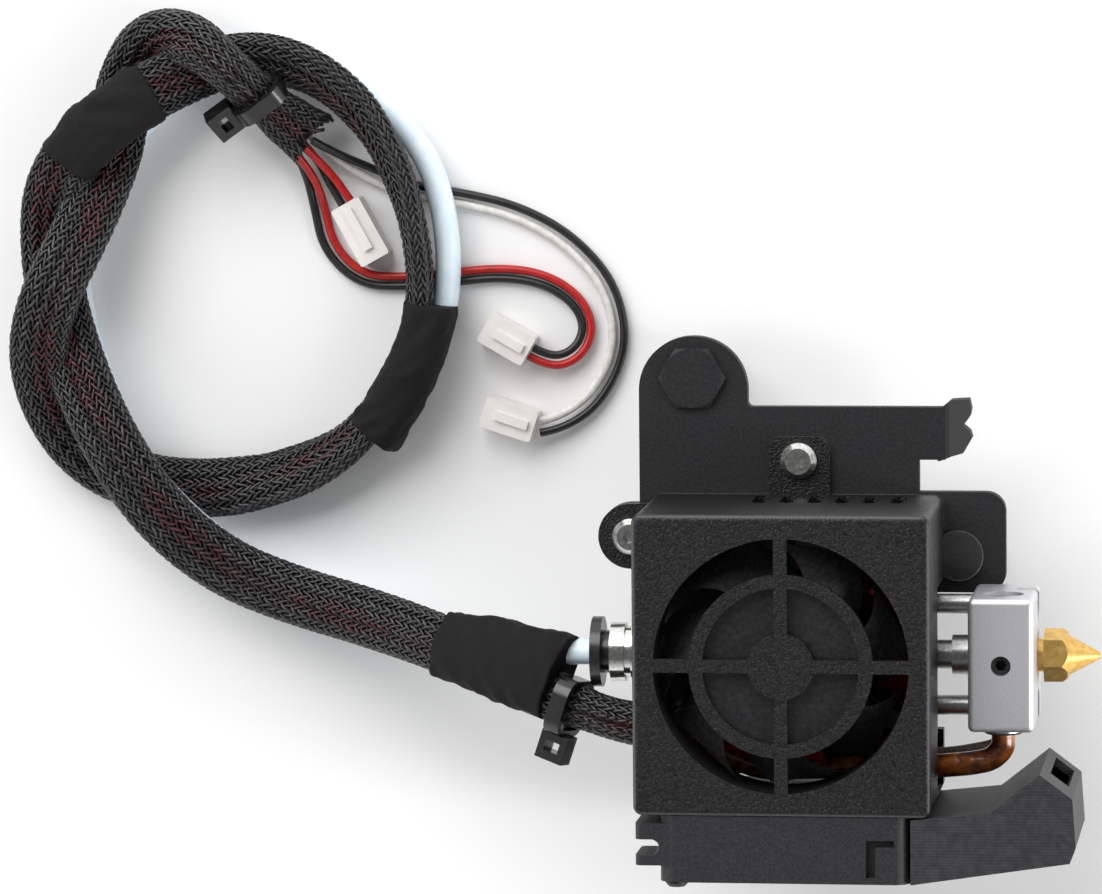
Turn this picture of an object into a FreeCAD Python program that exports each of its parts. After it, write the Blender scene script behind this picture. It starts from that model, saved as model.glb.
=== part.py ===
import FreeCAD, Part
import math
import os

# A hot end carriage for a filament printer, lying on its wheel bolts with the fan upwards.
# +X is the way the nozzle points, +Z is out of the fan's face and z = 0 is the surface
# that the assembly and its wiring harness lie on. The origin is on that surface, under the
# middle of the assembly without its harness. Millimetres throughout.

V = FreeCAD.Vector
X, Y, Z = V(1, 0, 0), V(0, 1, 0), V(0, 0, 1)

# ---------------------------------------------------------------- driving dimensions
fan_x = -7.85                # middle of the fan and its shroud
fan_y = -6.9
hotend_y = fan_y - 1.0       # line that the filament follows, along X
bolt_reach = 22.5            # wheel bolts behind the plate
plate_thickness = 2.5
shroud_depth = 30.0          # front of the shroud above the plate
shroud_width = 44.3          # along X
shroud_height = 45.0         # along Y
sheet = 1.0                  # shroud's sheet metal
opening_diameter = 38.0
ring_outer_diameter = 27.4
ring_inner_diameter = 23.3
boss_diameter = 9.9
spoke_width = 2.0
side_tab_reach = 3.45        # screws of the tabs outside the shroud's walls
top_tab_reach = 5.2
slot_count = 6
slot_pitch = 4.17
slot_width = 2.2
slot_length = 10.0

fan_size = 40.0
fan_depth = 10.0
fan_bore = 38.2
fan_hole_pitch = 32.0
fan_hub_diameter = 25.0
blade_count = 7
blade_gap = 0.45             # blade tips to the fan's bore

filament_height = 6.5        # filament line above the plate
sink_length = 30.0
sink_width = 27.0
sink_depth = 12.4
sink_screw_head = 2.4
sink_end = 20.6              # nozzle end of the sink, from the fan's middle
fin_count = 9
fin_gap = 1.6
break_wall = 0.9             # heat break, outside its bore
break_neck_wall = 0.1
block_start = 27.0           # from the fan's middle
block_x, block_y, block_z = 9.8, 20.0, 20.0
block_bolt_pitch = 15.4
cartridge_diameter = 6.0
cartridge_from_front = 7.0
nozzle_across_flats = 7.0
nozzle_hex_length = 3.6
nozzle_cone_length = 4.8
nozzle_tip_diameter = 1.0
orifice_diameter = 0.4
tube_diameter = 4.0          # filament guide tube
filament_bore = 2.0

coupler_end = 27.9           # outer end of the coupler's body, from the fan's middle
coupler_body_diameter = 9.0
coupler_hex = 12.0
collet_diameter = 10.7
collet_travel = 1.0

wheel_bolt_diameter = 5.0
wheel_bolt_seat = 5.6        # shoulder of the bolt in the plate
wheel_bolt_head = 9.0        # low hexagon head, across its flats
wheel_bolt_head_height = 1.0
eccentric_offset = 0.8
eccentric_hole = 7.8
axle_seat = 5.6              # shoulder of the lower wheel's axle in its nut
eccentric_nut_length = 6.0

blower_length = 41.0         # along X
blower_thickness = 10.0      # along Y
blower_height = 40.0         # along Z
outlet_setback = 3.05        # blower's outlet behind the shroud's end wall
impeller_diameter = 30.0
vane_count = 24
duct_depth = 28.0            # along Z
duct_wall = 1.2

harness_diameter = 7.0
guide_tube_diameter = tube_diameter
lead_diameter = 1.3
sleeve_wall = 0.8

running_gap = 0.05           # shaft in bearing, radial
slip_gap = 0.1               # screw in a clear hole, radial
loose_gap = 0.3

# ---------------------------------------------------------------- levels and places
plate_back = bolt_reach
plate_front = plate_back + plate_thickness
shroud_front = plate_front + shroud_depth
fan_front = shroud_front - sheet
fan_back = fan_front - fan_depth
hotend_z = plate_front + filament_height
break_bore = tube_diameter + 2 * slip_gap
break_diameter = break_bore + 2 * break_wall
break_neck_diameter = break_bore + 2 * break_neck_wall
block_x0 = fan_x + block_start
block_x1 = block_x0 + block_x
block_front = hotend_z + 13.5
sink_x1 = fan_x + sink_end
sink_x0 = sink_x1 - sink_length
upper_wheel = V(fan_x - 16.1, fan_y + 40.2, 0)
lower_wheel = V(fan_x - 16.1, fan_y - 13.8, 0)
eccentric_wheel = V(fan_x + 24.3, fan_y + 13.2, 0)
wall_x = shroud_width / 2
wall_y = shroud_height / 2
side_tab = V(fan_x - wall_x - side_tab_reach, fan_y + 16.0, 0)
top_tab = V(fan_x + 0.2, fan_y + wall_y + top_tab_reach, 0)
blower_y1 = fan_y - wall_y
blower_y0 = blower_y1 - blower_thickness
blower_x1 = fan_x + wall_x - outlet_setback
blower_x0 = blower_x1 - blower_length
blower_z1 = shroud_front - 0.5
blower_z0 = blower_z1 - blower_height
impeller_centre = V(blower_x0 + 18.5, 0, blower_z0 + 20.5)
duct_z1 = blower_z1
duct_z0 = duct_z1 - duct_depth
exit_y = fan_y - 12.1        # harness in the shroud's wall
exit_z = plate_front + 10.5


# ---------------------------------------------------------------- helpers
def box(x0, x1, y0, y1, z0, z1):
    return Part.makeBox(x1 - x0, y1 - y0, z1 - z0, V(x0, y0, z0))


def rod(diameter, start, axis, length):
    return Part.makeCylinder(diameter / 2, length, start, axis)


def ring(outer, inner, start, axis, length):
    return rod(outer, start, axis, length).cut(rod(inner, start - axis * 1, axis, length + 2))


def hexagon(across_flats, start, axis, length, turn=0.0):
    corner = across_flats / math.sqrt(3)
    points = [V(corner, 0, 0)]
    for i in range(1, 7):
        a = math.radians(60 * i)
        points.append(V(corner * math.cos(a), corner * math.sin(a), 0))
    prism = Part.Face(Part.makePolygon(points)).extrude(V(0, 0, length))
    prism.rotate(V(0, 0, 0), Z, turn)
    prism.Placement = FreeCAD.Placement(start, FreeCAD.Rotation(Z, axis)).multiply(prism.Placement)
    return prism


def rounded_face(corners, z):
    """A flat face at height z from (x, y, radius) corners, each turned with its own arc."""
    edges = []
    starts, ends, mids = [], [], []
    count = len(corners)
    for i in range(count):
        x, y, r = corners[i]
        here = V(x, y, z)
        before = V(corners[i - 1][0], corners[i - 1][1], z)
        after = V(corners[(i + 1) % count][0], corners[(i + 1) % count][1], z)
        to_before = (before - here).normalize()
        to_after = (after - here).normalize()
        half = to_before.getAngle(to_after) / 2
        reach = r / math.tan(half)
        starts.append(here + to_before * reach)
        ends.append(here + to_after * reach)
        bisector = (to_before + to_after).normalize()
        mids.append(here + bisector * (r / math.sin(half) - r))
    for i in range(count):
        if corners[i][2] > 0:
            edges.append(Part.Arc(starts[i], mids[i], ends[i]).toShape())
        following = starts[(i + 1) % count]
        if (following - ends[i]).Length > 1e-4:
            edges.append(Part.LineSegment(ends[i], following).toShape())
    return Part.Face(Part.Wire(edges))


def slab(corners, z0, z1):
    return rounded_face(corners, z0).extrude(V(0, 0, z1 - z0))


def rounded_box(x0, x1, y0, y1, z0, z1, r):
    return slab([(x0, y0, r), (x1, y0, r), (x1, y1, r), (x0, y1, r)], z0, z1)


def prism(points, z0, z1):
    flat = Part.Face(Part.makePolygon([V(p.x, p.y, z0) for p in points + points[:1]]))
    return flat.extrude(V(0, 0, z1 - z0))


def join(shapes):
    whole = shapes[0]
    for shape in shapes[1:]:
        whole = whole.fuse(shape)
    return whole.removeSplitter()


def cut_all(shape, tools):
    for tool in tools:
        shape = shape.cut(tool)
    return shape


def route(points, label, diameter):
    """Straight runs joined by tangent arcs, each arc as large as its two runs allow."""
    edges, radii = [], []
    last = V(*points[0])
    for i in range(1, len(points) - 1):
        a, b, c = V(*points[i - 1]), V(*points[i]), V(*points[i + 1])
        back, ahead = a - b, c - b
        turn = math.pi - back.getAngle(ahead)
        reach = 0.45 * min(back.Length, ahead.Length)
        radii.append(reach / math.tan(turn / 2))
        back.normalize()
        ahead.normalize()
        start, end = b + back * reach, b + ahead * reach
        half = (math.pi - turn) / 2
        inward = (back + ahead).normalize()
        middle = b + inward * (radii[-1] / math.sin(half) - radii[-1])
        edges.append(Part.LineSegment(last, start).toShape())
        edges.append(Part.Arc(start, middle, end).toShape())
        last = end
    edges.append(Part.LineSegment(last, V(*points[-1])).toShape())
    path = Part.Wire(edges)
    print(label, "length", round(path.Length, 1), "smallest radius", round(min(radii), 1),
          "radii", [round(r) for r in radii], "in diameters", round(min(radii) / diameter, 1))
    return path


def tube(points, diameter, label):
    """A plain round cord along its route."""
    path = route(points, label, diameter)
    start = V(*points[0])
    heading = V(*points[1]) - start
    section = Part.Wire(Part.makeCircle(diameter / 2, start, heading))
    solid = Part.Solid(path.makePipeShell([section], True, False))
    wanted = math.pi * diameter ** 2 / 4 * path.Length
    print("    volume", round(solid.Volume), "section times length", round(wanted))
    return solid


def cap_screw(diameter, head, head_height, start, axis, length):
    """A button-head screw: start is under its head, the shank runs along axis."""
    top = start - axis * head_height
    dome = Part.makeCone(head * 0.36, head / 2, head_height * 0.6, top, axis)
    rim = rod(head, start - axis * (head_height * 0.4), axis, head_height * 0.4)
    shank = rod(diameter, start, axis, length)
    socket = hexagon(diameter * 0.62, top, axis, head_height * 0.75)
    return join([dome, rim, shank]).cut(socket)


# ---------------------------------------------------------------- carriage plate
def belt_hook(x, middle):
    """End of the plate's arm, bent back steeply, with a notch that holds the belt's end."""
    outline = [(-1.2, 3.1), (-0.6, 3.1), (0.8, 4.2), (3.2, 3.9), (3.5, 2.3), (3.3, 1.2), (2.4, 0.0),
               (3.3, -1.0), (3.6, -2.1), (2.4, -4.2), (0.8, -4.4), (-0.9, -5.0), (-1.2, -5.0)]
    flat = prism([V(x + a, middle + b, 0) for a, b in outline], plate_front - 14, plate_front + 1)
    drop = 1.9
    side = [(-1.3, plate_front), (-0.2, plate_front), (0.6, plate_front - 0.4), (3.8, plate_front - 3.8 * drop),
            (3.8, plate_back - 1.0 - 3.8 * drop), (0.2, plate_back - 0.8), (-1.3, plate_back)]
    profile = [V(x + a, middle - 8, z) for a, z in side]
    slope = Part.Face(Part.makePolygon(profile + profile[:1])).extrude(V(0, 16, 0))
    return flat.common(slope)


def carriage_plate():
    """Flat back plate with an ear for each wheel and a bent tab that hooks the belt."""
    left = fan_x - 24.3
    top_edge = fan_y + 35.8
    ear_x, ear_y = fan_x - 16.0, fan_y + 38.2
    arm_x = fan_x + 22.4
    corners = [
        (left, fan_y - 20.5, 3.0),
        (fan_x + 16.0, fan_y - 20.5, 6.0),
        (fan_x + 20.0, fan_y - 4.0, 6.0),
        (fan_x + 20.0, fan_y + 7.6, 1.5),
        (fan_x + 31.5, fan_y + 7.6, 3.0),
        (fan_x + 31.5, fan_y + 22.9, 3.0),
        (fan_x + 18.4, fan_y + 22.9, 0.0),
        (fan_x + 18.4, fan_y + 27.8, 0.0),
        (arm_x, fan_y + 27.8, 0.0),
        (arm_x, top_edge, 0.0),
        (ear_x + 8.3, top_edge, 0.8),
        (ear_x + 8.3, ear_y + 8.3, 8.2),
        (left, ear_y + 8.3, 8.2),
    ]
    plate = slab(corners, plate_back, plate_front)
    side_ear = rod(10.0, V(side_tab.x, side_tab.y, plate_back), Z, plate_thickness)
    side_link = box(side_tab.x, left + 1, side_tab.y - 5, side_tab.y + 5, plate_back, plate_front)
    plate = join([plate, side_ear, side_link, belt_hook(arm_x, fan_y + 32.6)])
    holes = []
    for wheel in (upper_wheel, lower_wheel):
        holes.append(rod(wheel_bolt_seat, V(wheel.x, wheel.y, 0), Z, 50))
    holes.append(rod(eccentric_hole, V(eccentric_wheel.x, eccentric_wheel.y, 0), Z, 50))
    for tab in (side_tab, top_tab):
        holes.append(rod(3.0, V(tab.x, tab.y, 0), Z, 50))
    for point in sink_screw_points():
        holes.append(rod(3.0, V(point.x, point.y, 0), Z, 50))
    return cut_all(plate, holes)


def wheel_bolts():
    """Two hexagon bolts whose shanks carry the upper wheels behind the plate."""
    bolts = []
    for wheel in (upper_wheel, lower_wheel):
        head = hexagon(wheel_bolt_head, V(wheel.x, wheel.y, plate_front), Z, wheel_bolt_head_height, 0)
        corner = wheel_bolt_head / math.sqrt(3)
        low = wheel_bolt_head_height * 0.5
        bevel = Part.makeCone(corner + 0.1, corner - 0.7, low, V(wheel.x, wheel.y, plate_front + low), Z)
        barrel = rod(2 * corner + 0.2, V(wheel.x, wheel.y, plate_front), Z, low)
        head = head.common(join([bevel, barrel]))
        shank = rod(wheel_bolt_diameter, V(wheel.x, wheel.y, 0), Z, plate_front)
        seat = rod(wheel_bolt_seat, V(wheel.x, wheel.y, plate_back), Z, plate_thickness)
        bolts.append(join([head, shank, seat]))
    return Part.makeCompound(bolts)


def eccentric_nut():
    """Spacer nut with a boss that turns in the plate and an axle hole beside its middle."""
    c = eccentric_wheel
    body = hexagon(10.0, V(c.x, c.y, plate_back - eccentric_nut_length), Z, eccentric_nut_length - running_gap)
    boss = rod(eccentric_hole - 2 * running_gap, V(c.x, c.y, plate_back - 1), Z, plate_thickness + 1)
    hole = rod(axle_seat, V(c.x + eccentric_offset, c.y, 0), Z, 50)
    return join([body, boss]).cut(hole)


def eccentric_bolt():
    """Axle of the lower wheel, with a plain low head on the front of the plate."""
    c = V(eccentric_wheel.x + eccentric_offset, eccentric_wheel.y, 0)
    shank = rod(wheel_bolt_diameter, V(c.x, c.y, 0), Z, plate_front + running_gap)
    nut_back = plate_back - eccentric_nut_length
    seat = rod(axle_seat, V(c.x, c.y, nut_back), Z, plate_front + running_gap - nut_back)
    head = rod(7.4, V(eccentric_wheel.x, eccentric_wheel.y, plate_front + running_gap), Z, 0.6)
    return join([head, seat, shank])


# ---------------------------------------------------------------- fan shroud
def shroud_slots():
    slots = []
    for i in range(slot_count):
        x = fan_x - 4.95 + i * slot_pitch
        low, high = plate_front + 2.5, plate_front + 2.5 + slot_length
        middle = box(x - slot_width / 2, x + slot_width / 2, fan_y + wall_y - 3, fan_y + wall_y + 3,
                     low + slot_width / 2, high - slot_width / 2)
        slots.append(middle)
        for z in (low + slot_width / 2, high - slot_width / 2):
            slots.append(rod(slot_width, V(x, fan_y + wall_y - 3, z), Y, 6))
    return slots


def grille():
    """Round opening with a ring, a boss in the middle and four spokes, cut from the front."""
    centre = V(fan_x, fan_y, fan_front - 1)
    hole = rod(opening_diameter, centre, Z, 3)
    bars = ring(ring_outer_diameter, ring_inner_diameter, centre, Z, 3)
    boss = rod(boss_diameter, centre, Z, 3)
    half, reach = spoke_width / 2, opening_diameter
    across = box(fan_x - reach, fan_x + reach, fan_y - half, fan_y + half, fan_front - 1, fan_front + 2)
    upright = box(fan_x - half, fan_x + half, fan_y - reach, fan_y + reach, fan_front - 1, fan_front + 2)
    return cut_all(hole, [bars, boss, across, upright])


def fan_shroud():
    """Folded sheet cover: a front with the grille, four walls and two tabs on the plate."""
    x0, x1 = fan_x - wall_x, fan_x + wall_x
    y0, y1 = fan_y - wall_y, fan_y + wall_y
    shell = rounded_box(x0, x1, y0, y1, plate_front, shroud_front, 1.4)
    top_edges = [e for e in shell.Edges if abs(e.BoundBox.ZMin - shroud_front) < 0.01
                 and abs(e.BoundBox.ZMax - shroud_front) < 0.01]
    shell = shell.makeFillet(0.9, top_edges)
    hollow = rounded_box(x0 + sheet, x1 - sheet, y0 + sheet, y1 - sheet, plate_front - 1, fan_front, 0.5)
    shell = shell.cut(hollow)
    shell = shell.cut(grille())
    outlet = box(x1 - 3, x1 + 3, hotend_y - 12.0, hotend_y + 11.0, plate_front - 1, plate_front + 14.5)
    lead_gap = box(x1 - 3, x1 + 3, y0 + 1.2, hotend_y - 11.0, plate_front + 2.5, plate_front + 15.5)
    coupler_gap = box(x0 - 3, x0 + 3, hotend_y - 6.5, hotend_y + 6.5, plate_front - 1, hotend_z + 6.5)
    exit_gap = rod(harness_diameter + 2 * loose_gap, V(x0 - 3, exit_y, exit_z), X, 6)
    bolt_gap = box(x1 - 3, x1 + 3, eccentric_wheel.y - 4.4, eccentric_wheel.y + 4.4,
                   plate_front - 1, plate_front + 2.4)
    shell = cut_all(shell, [outlet, lead_gap, coupler_gap, exit_gap, bolt_gap] + shroud_slots())
    low, high = plate_front, plate_front + sheet
    tab_a = slab([(top_tab.x - 4.6, y1 - 0.5, 0), (top_tab.x + 4.6, y1 - 0.5, 0),
                  (top_tab.x + 4.6, top_tab.y + 3.6, 2.0), (top_tab.x - 4.6, top_tab.y + 3.6, 2.0)],
                 low, high)
    tab_b = join([rod(10.0, V(side_tab.x, side_tab.y, low), Z, sheet),
                  box(side_tab.x, x0 + 0.5, side_tab.y - 5, side_tab.y + 5, low, high)])
    shell = join([shell, tab_a, tab_b])
    screw_holes = []
    for tab in (side_tab, top_tab):
        screw_holes.append(rod(3.0 + 2 * slip_gap, V(tab.x, tab.y, low - 1), Z, 3))
    for point in fan_hole_points():
        screw_holes.append(rod(3.0, V(point.x, point.y, fan_front - 1), Z, 1 + 0.4))
    return cut_all(shell, screw_holes)


def shroud_screws():
    """Two button-head screws through the tabs into the plate."""
    screws = []
    for tab in (side_tab, top_tab):
        start = V(tab.x, tab.y, plate_front + sheet)
        screws.append(cap_screw(3.0, 5.5, 1.65, start, -Z, sheet + plate_thickness + 1.0))
    return Part.makeCompound(screws)


# ---------------------------------------------------------------- axial fan
def fan_hole_points():
    half = fan_hole_pitch / 2
    return [V(fan_x + a * half, fan_y + b * half, 0) for a in (-1, 1) for b in (-1, 1)]


def fan_frame():
    """Square frame with a round duct, and a motor base carried on three arms at the back."""
    half = fan_size / 2
    frame = rounded_box(fan_x - half, fan_x + half, fan_y - half, fan_y + half, fan_back, fan_front, 3.5)
    frame = frame.cut(rod(fan_bore, V(fan_x, fan_y, fan_back - 1), Z, fan_depth + 2))
    waist = box(fan_x - half - 1, fan_x + half + 1, fan_y - half - 1, fan_y + half + 1,
                fan_back + 2.4, fan_front - 2.4)
    waist = waist.cut(rod(fan_size + 1.0, V(fan_x, fan_y, fan_back), Z, fan_depth))
    frame = frame.cut(waist)
    for point in fan_hole_points():
        post = rod(5.4, V(point.x, point.y, fan_back + 2), Z, fan_depth - 4)
        frame = frame.fuse(post)
    base = rod(fan_hub_diameter, V(fan_x, fan_y, fan_back), Z, 1.6)
    arms = [frame, base]
    for i in range(3):
        a = math.radians(90 + 120 * i)
        arm = box(8.0, fan_bore / 2 + 1.0, -1.3, 1.3, fan_back, fan_back + 1.6)
        arm.rotate(V(0, 0, 0), Z, math.degrees(a))
        arm.translate(V(fan_x, fan_y, 0))
        arms.append(arm)
    bearing = rod(6.0, V(fan_x, fan_y, fan_back), Z, 4.0)
    frame = join(arms + [bearing])
    frame = frame.cut(rod(2.0 + 2 * running_gap, V(fan_x, fan_y, fan_back + 0.6), Z, 10))
    holes = [rod(3.0 + 2 * slip_gap, V(p.x, p.y, fan_back - 1), Z, fan_depth + 2) for p in fan_hole_points()]
    return cut_all(frame, holes)


def fan_stator():
    """Wound core around the bearing, under the hub."""
    core = ring(18.0, 6.0, V(fan_x, fan_y, fan_back + 1.6), Z, 4.2)
    gaps = []
    for i in range(4):
        gap = box(5.0, 12.0, -0.8, 0.8, fan_back, fan_back + 10)
        gap.rotate(V(0, 0, 0), Z, 45 + 90 * i)
        gap.translate(V(fan_x, fan_y, 0))
        gaps.append(gap)
    return cut_all(core, gaps)


def fan_blade(number):
    """One swept blade, from the hub to the bore with its pitch easing outwards."""
    sections = []
    inner = fan_hub_diameter / 2 - 0.4
    outer = fan_bore / 2 - blade_gap
    for share in (0.0, 0.5, 1.0):
        radius = inner + (outer - inner) * share
        sweep = 26.0 * share ** 1.4
        half_chord = 4.6 + 1.5 * share
        rise = 3.1 - 0.3 * share
        middle_z = fan_back + 5.3
        corners = []
        for along, up in ((-1, -0.32), (1, -0.32), (1, 0.32), (-1, 0.32)):
            angle = along * half_chord / radius
            x, y = radius * math.cos(angle), radius * math.sin(angle)
            corners.append(V(x, y, middle_z + along * rise + up))
        corners.append(corners[0])
        wire = Part.makePolygon(corners)
        wire.rotate(V(0, 0, 0), Z, sweep + number * 360.0 / blade_count)
        sections.append(wire)
    blade = Part.makeLoft(sections, True, False)
    blade.translate(V(fan_x, fan_y, 0))
    return blade


def fan_rotor():
    """Hub cup with its blades and shaft, one moulding that spins."""
    top = fan_front - 0.8
    low = fan_back + 1.9
    cup = rod(fan_hub_diameter, V(fan_x, fan_y, low), Z, top - low)
    cup = cup.cut(rod(fan_hub_diameter - 2.4, V(fan_x, fan_y, low - 1), Z, top - low - 0.2))
    shaft = rod(2.0, V(fan_x, fan_y, fan_back + 0.8), Z, top - fan_back - 1.2)
    blades = [fan_blade(i) for i in range(blade_count)]
    keep = ring(fan_bore - 2 * blade_gap, fan_hub_diameter - 1.4, V(fan_x, fan_y, fan_back), Z, fan_depth)
    blades = [blade.common(keep) for blade in blades]
    return join([cup, shaft] + blades)


def fan_studs():
    """Four press-in studs, flush with the front sheet, that the fan is nutted to."""
    studs = []
    for p in fan_hole_points():
        studs.append(rod(3.0, V(p.x, p.y, fan_back - 3.0), Z, fan_depth + 3.0 + 0.4))
    return Part.makeCompound(studs)


def fan_nuts():
    nuts = []
    for p in fan_hole_points():
        nut = hexagon(5.5, V(p.x, p.y, fan_back - 2.4), Z, 2.4)
        nuts.append(nut.cut(rod(3.0, V(p.x, p.y, fan_back - 5), Z, 8)))
    return Part.makeCompound(nuts)


# ---------------------------------------------------------------- heat sink and hot end
def sink_screw_points():
    x = sink_x0 + 6.3
    return [V(x, hotend_y - 9.5, 0), V(x, hotend_y + 9.5, 0)]


def heatsink():
    """Finned aluminium block on the plate, bored for the heat break and the coupler."""
    y0, y1 = hotend_y - sink_width / 2, hotend_y + sink_width / 2
    z1 = plate_front + sink_depth
    sink = box(sink_x0, sink_x1, y0, y1, plate_front, z1)
    fins_x0 = sink_x0 + 11.0
    pitch = (sink_x1 - fins_x0 - 1.0) / fin_count
    cuts = []
    for i in range(fin_count):
        x = fins_x0 + i * pitch
        for side in (-1, 1):
            near, far = hotend_y + side * 4.6, hotend_y + side * (sink_width / 2 + 1)
            cuts.append(box(x, x + fin_gap * 0.8, min(near, far), max(near, far),
                            plate_front - 1, z1 + 1))
    bolt_webs = []
    for bolt in block_bolt_lines():
        bolt_webs.append(rod(5.0, V(fins_x0, bolt, hotend_z), X, sink_x1 - fins_x0))
    sink = cut_all(sink, cuts)
    sink = join([sink] + bolt_webs)
    bores = [rod(break_diameter, V(sink_x1 - 14.0, hotend_y, hotend_z), X, 20),
             rod(tube_diameter + 2 * slip_gap, V(sink_x0 - 1, hotend_y, hotend_z), X, 40),
             rod(6.0, V(sink_x0 - 1, hotend_y, hotend_z), X, 1 + 6.5)]
    for bolt in block_bolt_lines():
        bores.append(rod(3.0, V(sink_x1 - 12.0, bolt, hotend_z), X, 20))
    for point in sink_screw_points():
        bores.append(rod(3.0 + 2 * slip_gap, V(point.x, point.y, plate_front - 1), Z, 20))
        if sink_screw_seat() < z1:
            bores.append(rod(5.5 + 2 * slip_gap, V(point.x, point.y, sink_screw_seat()), Z, sink_depth))
    for point in fan_hole_points():
        bores.append(rod(7.4, V(point.x, point.y, fan_back - 3.0 - loose_gap), Z, sink_depth))
    return cut_all(sink, bores)


def sink_screw_seat():
    """Under the screws' heads: the top of the sink, or lower where the fan needs the room."""
    return min(plate_front + sink_depth, fan_back - sink_screw_head - loose_gap)


def block_bolt_lines():
    return [hotend_y - block_bolt_pitch / 2, hotend_y + block_bolt_pitch / 2]


def sink_screws():
    """Two socket screws that hold the sink on the plate."""
    screws = []
    for point in sink_screw_points():
        start = V(point.x, point.y, sink_screw_seat())
        screws.append(cap_screw(3.0, 5.5, sink_screw_head, start, -Z, start.z - plate_back))
    return Part.makeCompound(screws)


def heat_break():
    """Threaded tube between sink and block, with a thin neck in the gap."""
    x0, x1 = sink_x1 - 14.0, block_x0 + 5.2
    body = rod(break_diameter, V(x0, hotend_y, hotend_z), X, x1 - x0)
    groove = ring(break_diameter + 2, break_neck_diameter, V(sink_x1 + 0.9, hotend_y, hotend_z), X, 2.4)
    bore = rod(break_bore, V(x0 - 1, hotend_y, hotend_z), X, x1 - x0 + 2)
    return body.cut(groove).cut(bore)


def block_bolts():
    """Two long screws that hold the block square to the sink."""
    bolts = []
    for line in block_bolt_lines():
        start = V(block_x1 - 3.2, line, hotend_z)
        head = rod(5.0, start, X, 3.0)
        socket = hexagon(2.5, start + X * 1.4, X, 2.0)
        shank = rod(3.0, V(sink_x1 - 12.0, line, hotend_z), X, start.x - sink_x1 + 12.0)
        bolts.append(join([head, shank]).cut(socket))
    return Part.makeCompound(bolts)


def heater_block():
    """Aluminium block with the nozzle, the heat break, the heater and the sensor in it."""
    y0, y1 = hotend_y - block_y / 2, hotend_y + block_y / 2
    block = box(block_x0, block_x1, y0, y1, block_front - block_z, block_front)
    block = block.makeFillet(0.9, block.Edges)
    heater_z = block_front - cartridge_from_front
    middle_x = (block_x0 + block_x1) / 2
    holes = [
        rod(break_diameter, V(block_x0 - 1, hotend_y, hotend_z), X, 20),
        rod(cartridge_diameter + 2 * slip_gap, V(middle_x, y0 - 1, heater_z), Y, block_y + 2),
        rod(3.0, V(middle_x, hotend_y, heater_z), Z, 20),
        rod(3.0, V(middle_x, y0 - 1, block_front - block_z + 3.2), Y, 8.0),
        rod(2.5, V(middle_x - 3.0, y0 - 1, block_front - 1.8), Y, 5.0),
    ]
    for line in block_bolt_lines():
        holes.append(rod(3.0 + 2 * slip_gap, V(block_x0 - 1, line, hotend_z), X, 20))
        holes.append(rod(5.0 + 2 * slip_gap, V(block_x1 - 3.2, line, hotend_z), X, 20))
    return cut_all(block, holes)


def heater_cartridge():
    heater_z = block_front - cartridge_from_front
    middle_x = (block_x0 + block_x1) / 2
    body = rod(cartridge_diameter, V(middle_x, hotend_y - block_y / 2 - 1.0, heater_z), Y, block_y + 0.6)
    return body.makeChamfer(0.3, [body.Edges[0], body.Edges[2]])


def grub_screw():
    """Set screw from the front of the block onto the heater."""
    heater_top = block_front - cartridge_from_front + cartridge_diameter / 2
    middle_x = (block_x0 + block_x1) / 2
    length = block_front - heater_top - 1.0
    screw = rod(3.0, V(middle_x, hotend_y, heater_top), Z, length)
    return screw.cut(hexagon(1.5, V(middle_x, hotend_y, heater_top + length - 1.8), Z, 3))


def thermistor():
    """Glass-bead sensor in a small metal sleeve, in the side of the block."""
    middle_x = (block_x0 + block_x1) / 2
    z = block_front - block_z + 3.2
    return rod(2.9, V(middle_x, hotend_y - block_y / 2 - 1.2, z), Y, 8.0)


def nozzle():
    """Brass nozzle: thread in the block, hexagon outside, then the cone to the tip."""
    seat = V(block_x1 + 0.9, hotend_y, hotend_z)
    thread_start = block_x0 + 5.2
    thread = rod(break_diameter, V(thread_start, hotend_y, hotend_z), X, seat.x - thread_start)
    neck = ring(break_diameter + 1, 5.0, V(block_x1, hotend_y, hotend_z), X, 0.9)
    body = hexagon(nozzle_across_flats, seat, X, nozzle_hex_length, 19.0)
    corner = nozzle_across_flats / math.sqrt(3)
    bevel = Part.makeCone(corner + 0.05, corner - 0.5, 0.9, seat + X * (nozzle_hex_length - 0.9), X)
    barrel = rod(2 * corner + 0.1, seat, X, nozzle_hex_length - 0.9)
    body = body.common(join([barrel, bevel]))
    cone_start = seat + X * nozzle_hex_length
    cone = Part.makeCone(3.1, nozzle_tip_diameter / 2, nozzle_cone_length, cone_start, X)
    whole = join([thread.cut(neck), body, cone])
    length = cone_start.x + nozzle_cone_length - thread_start
    bore = rod(filament_bore, V(thread_start - 1, hotend_y, hotend_z), X, length - 1.0)
    orifice = rod(orifice_diameter, V(thread_start, hotend_y, hotend_z), X, length + 1)
    return whole.cut(bore).cut(orifice)


# ---------------------------------------------------------------- tube coupler
def coupler_mouth():
    return fan_x - coupler_end


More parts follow.
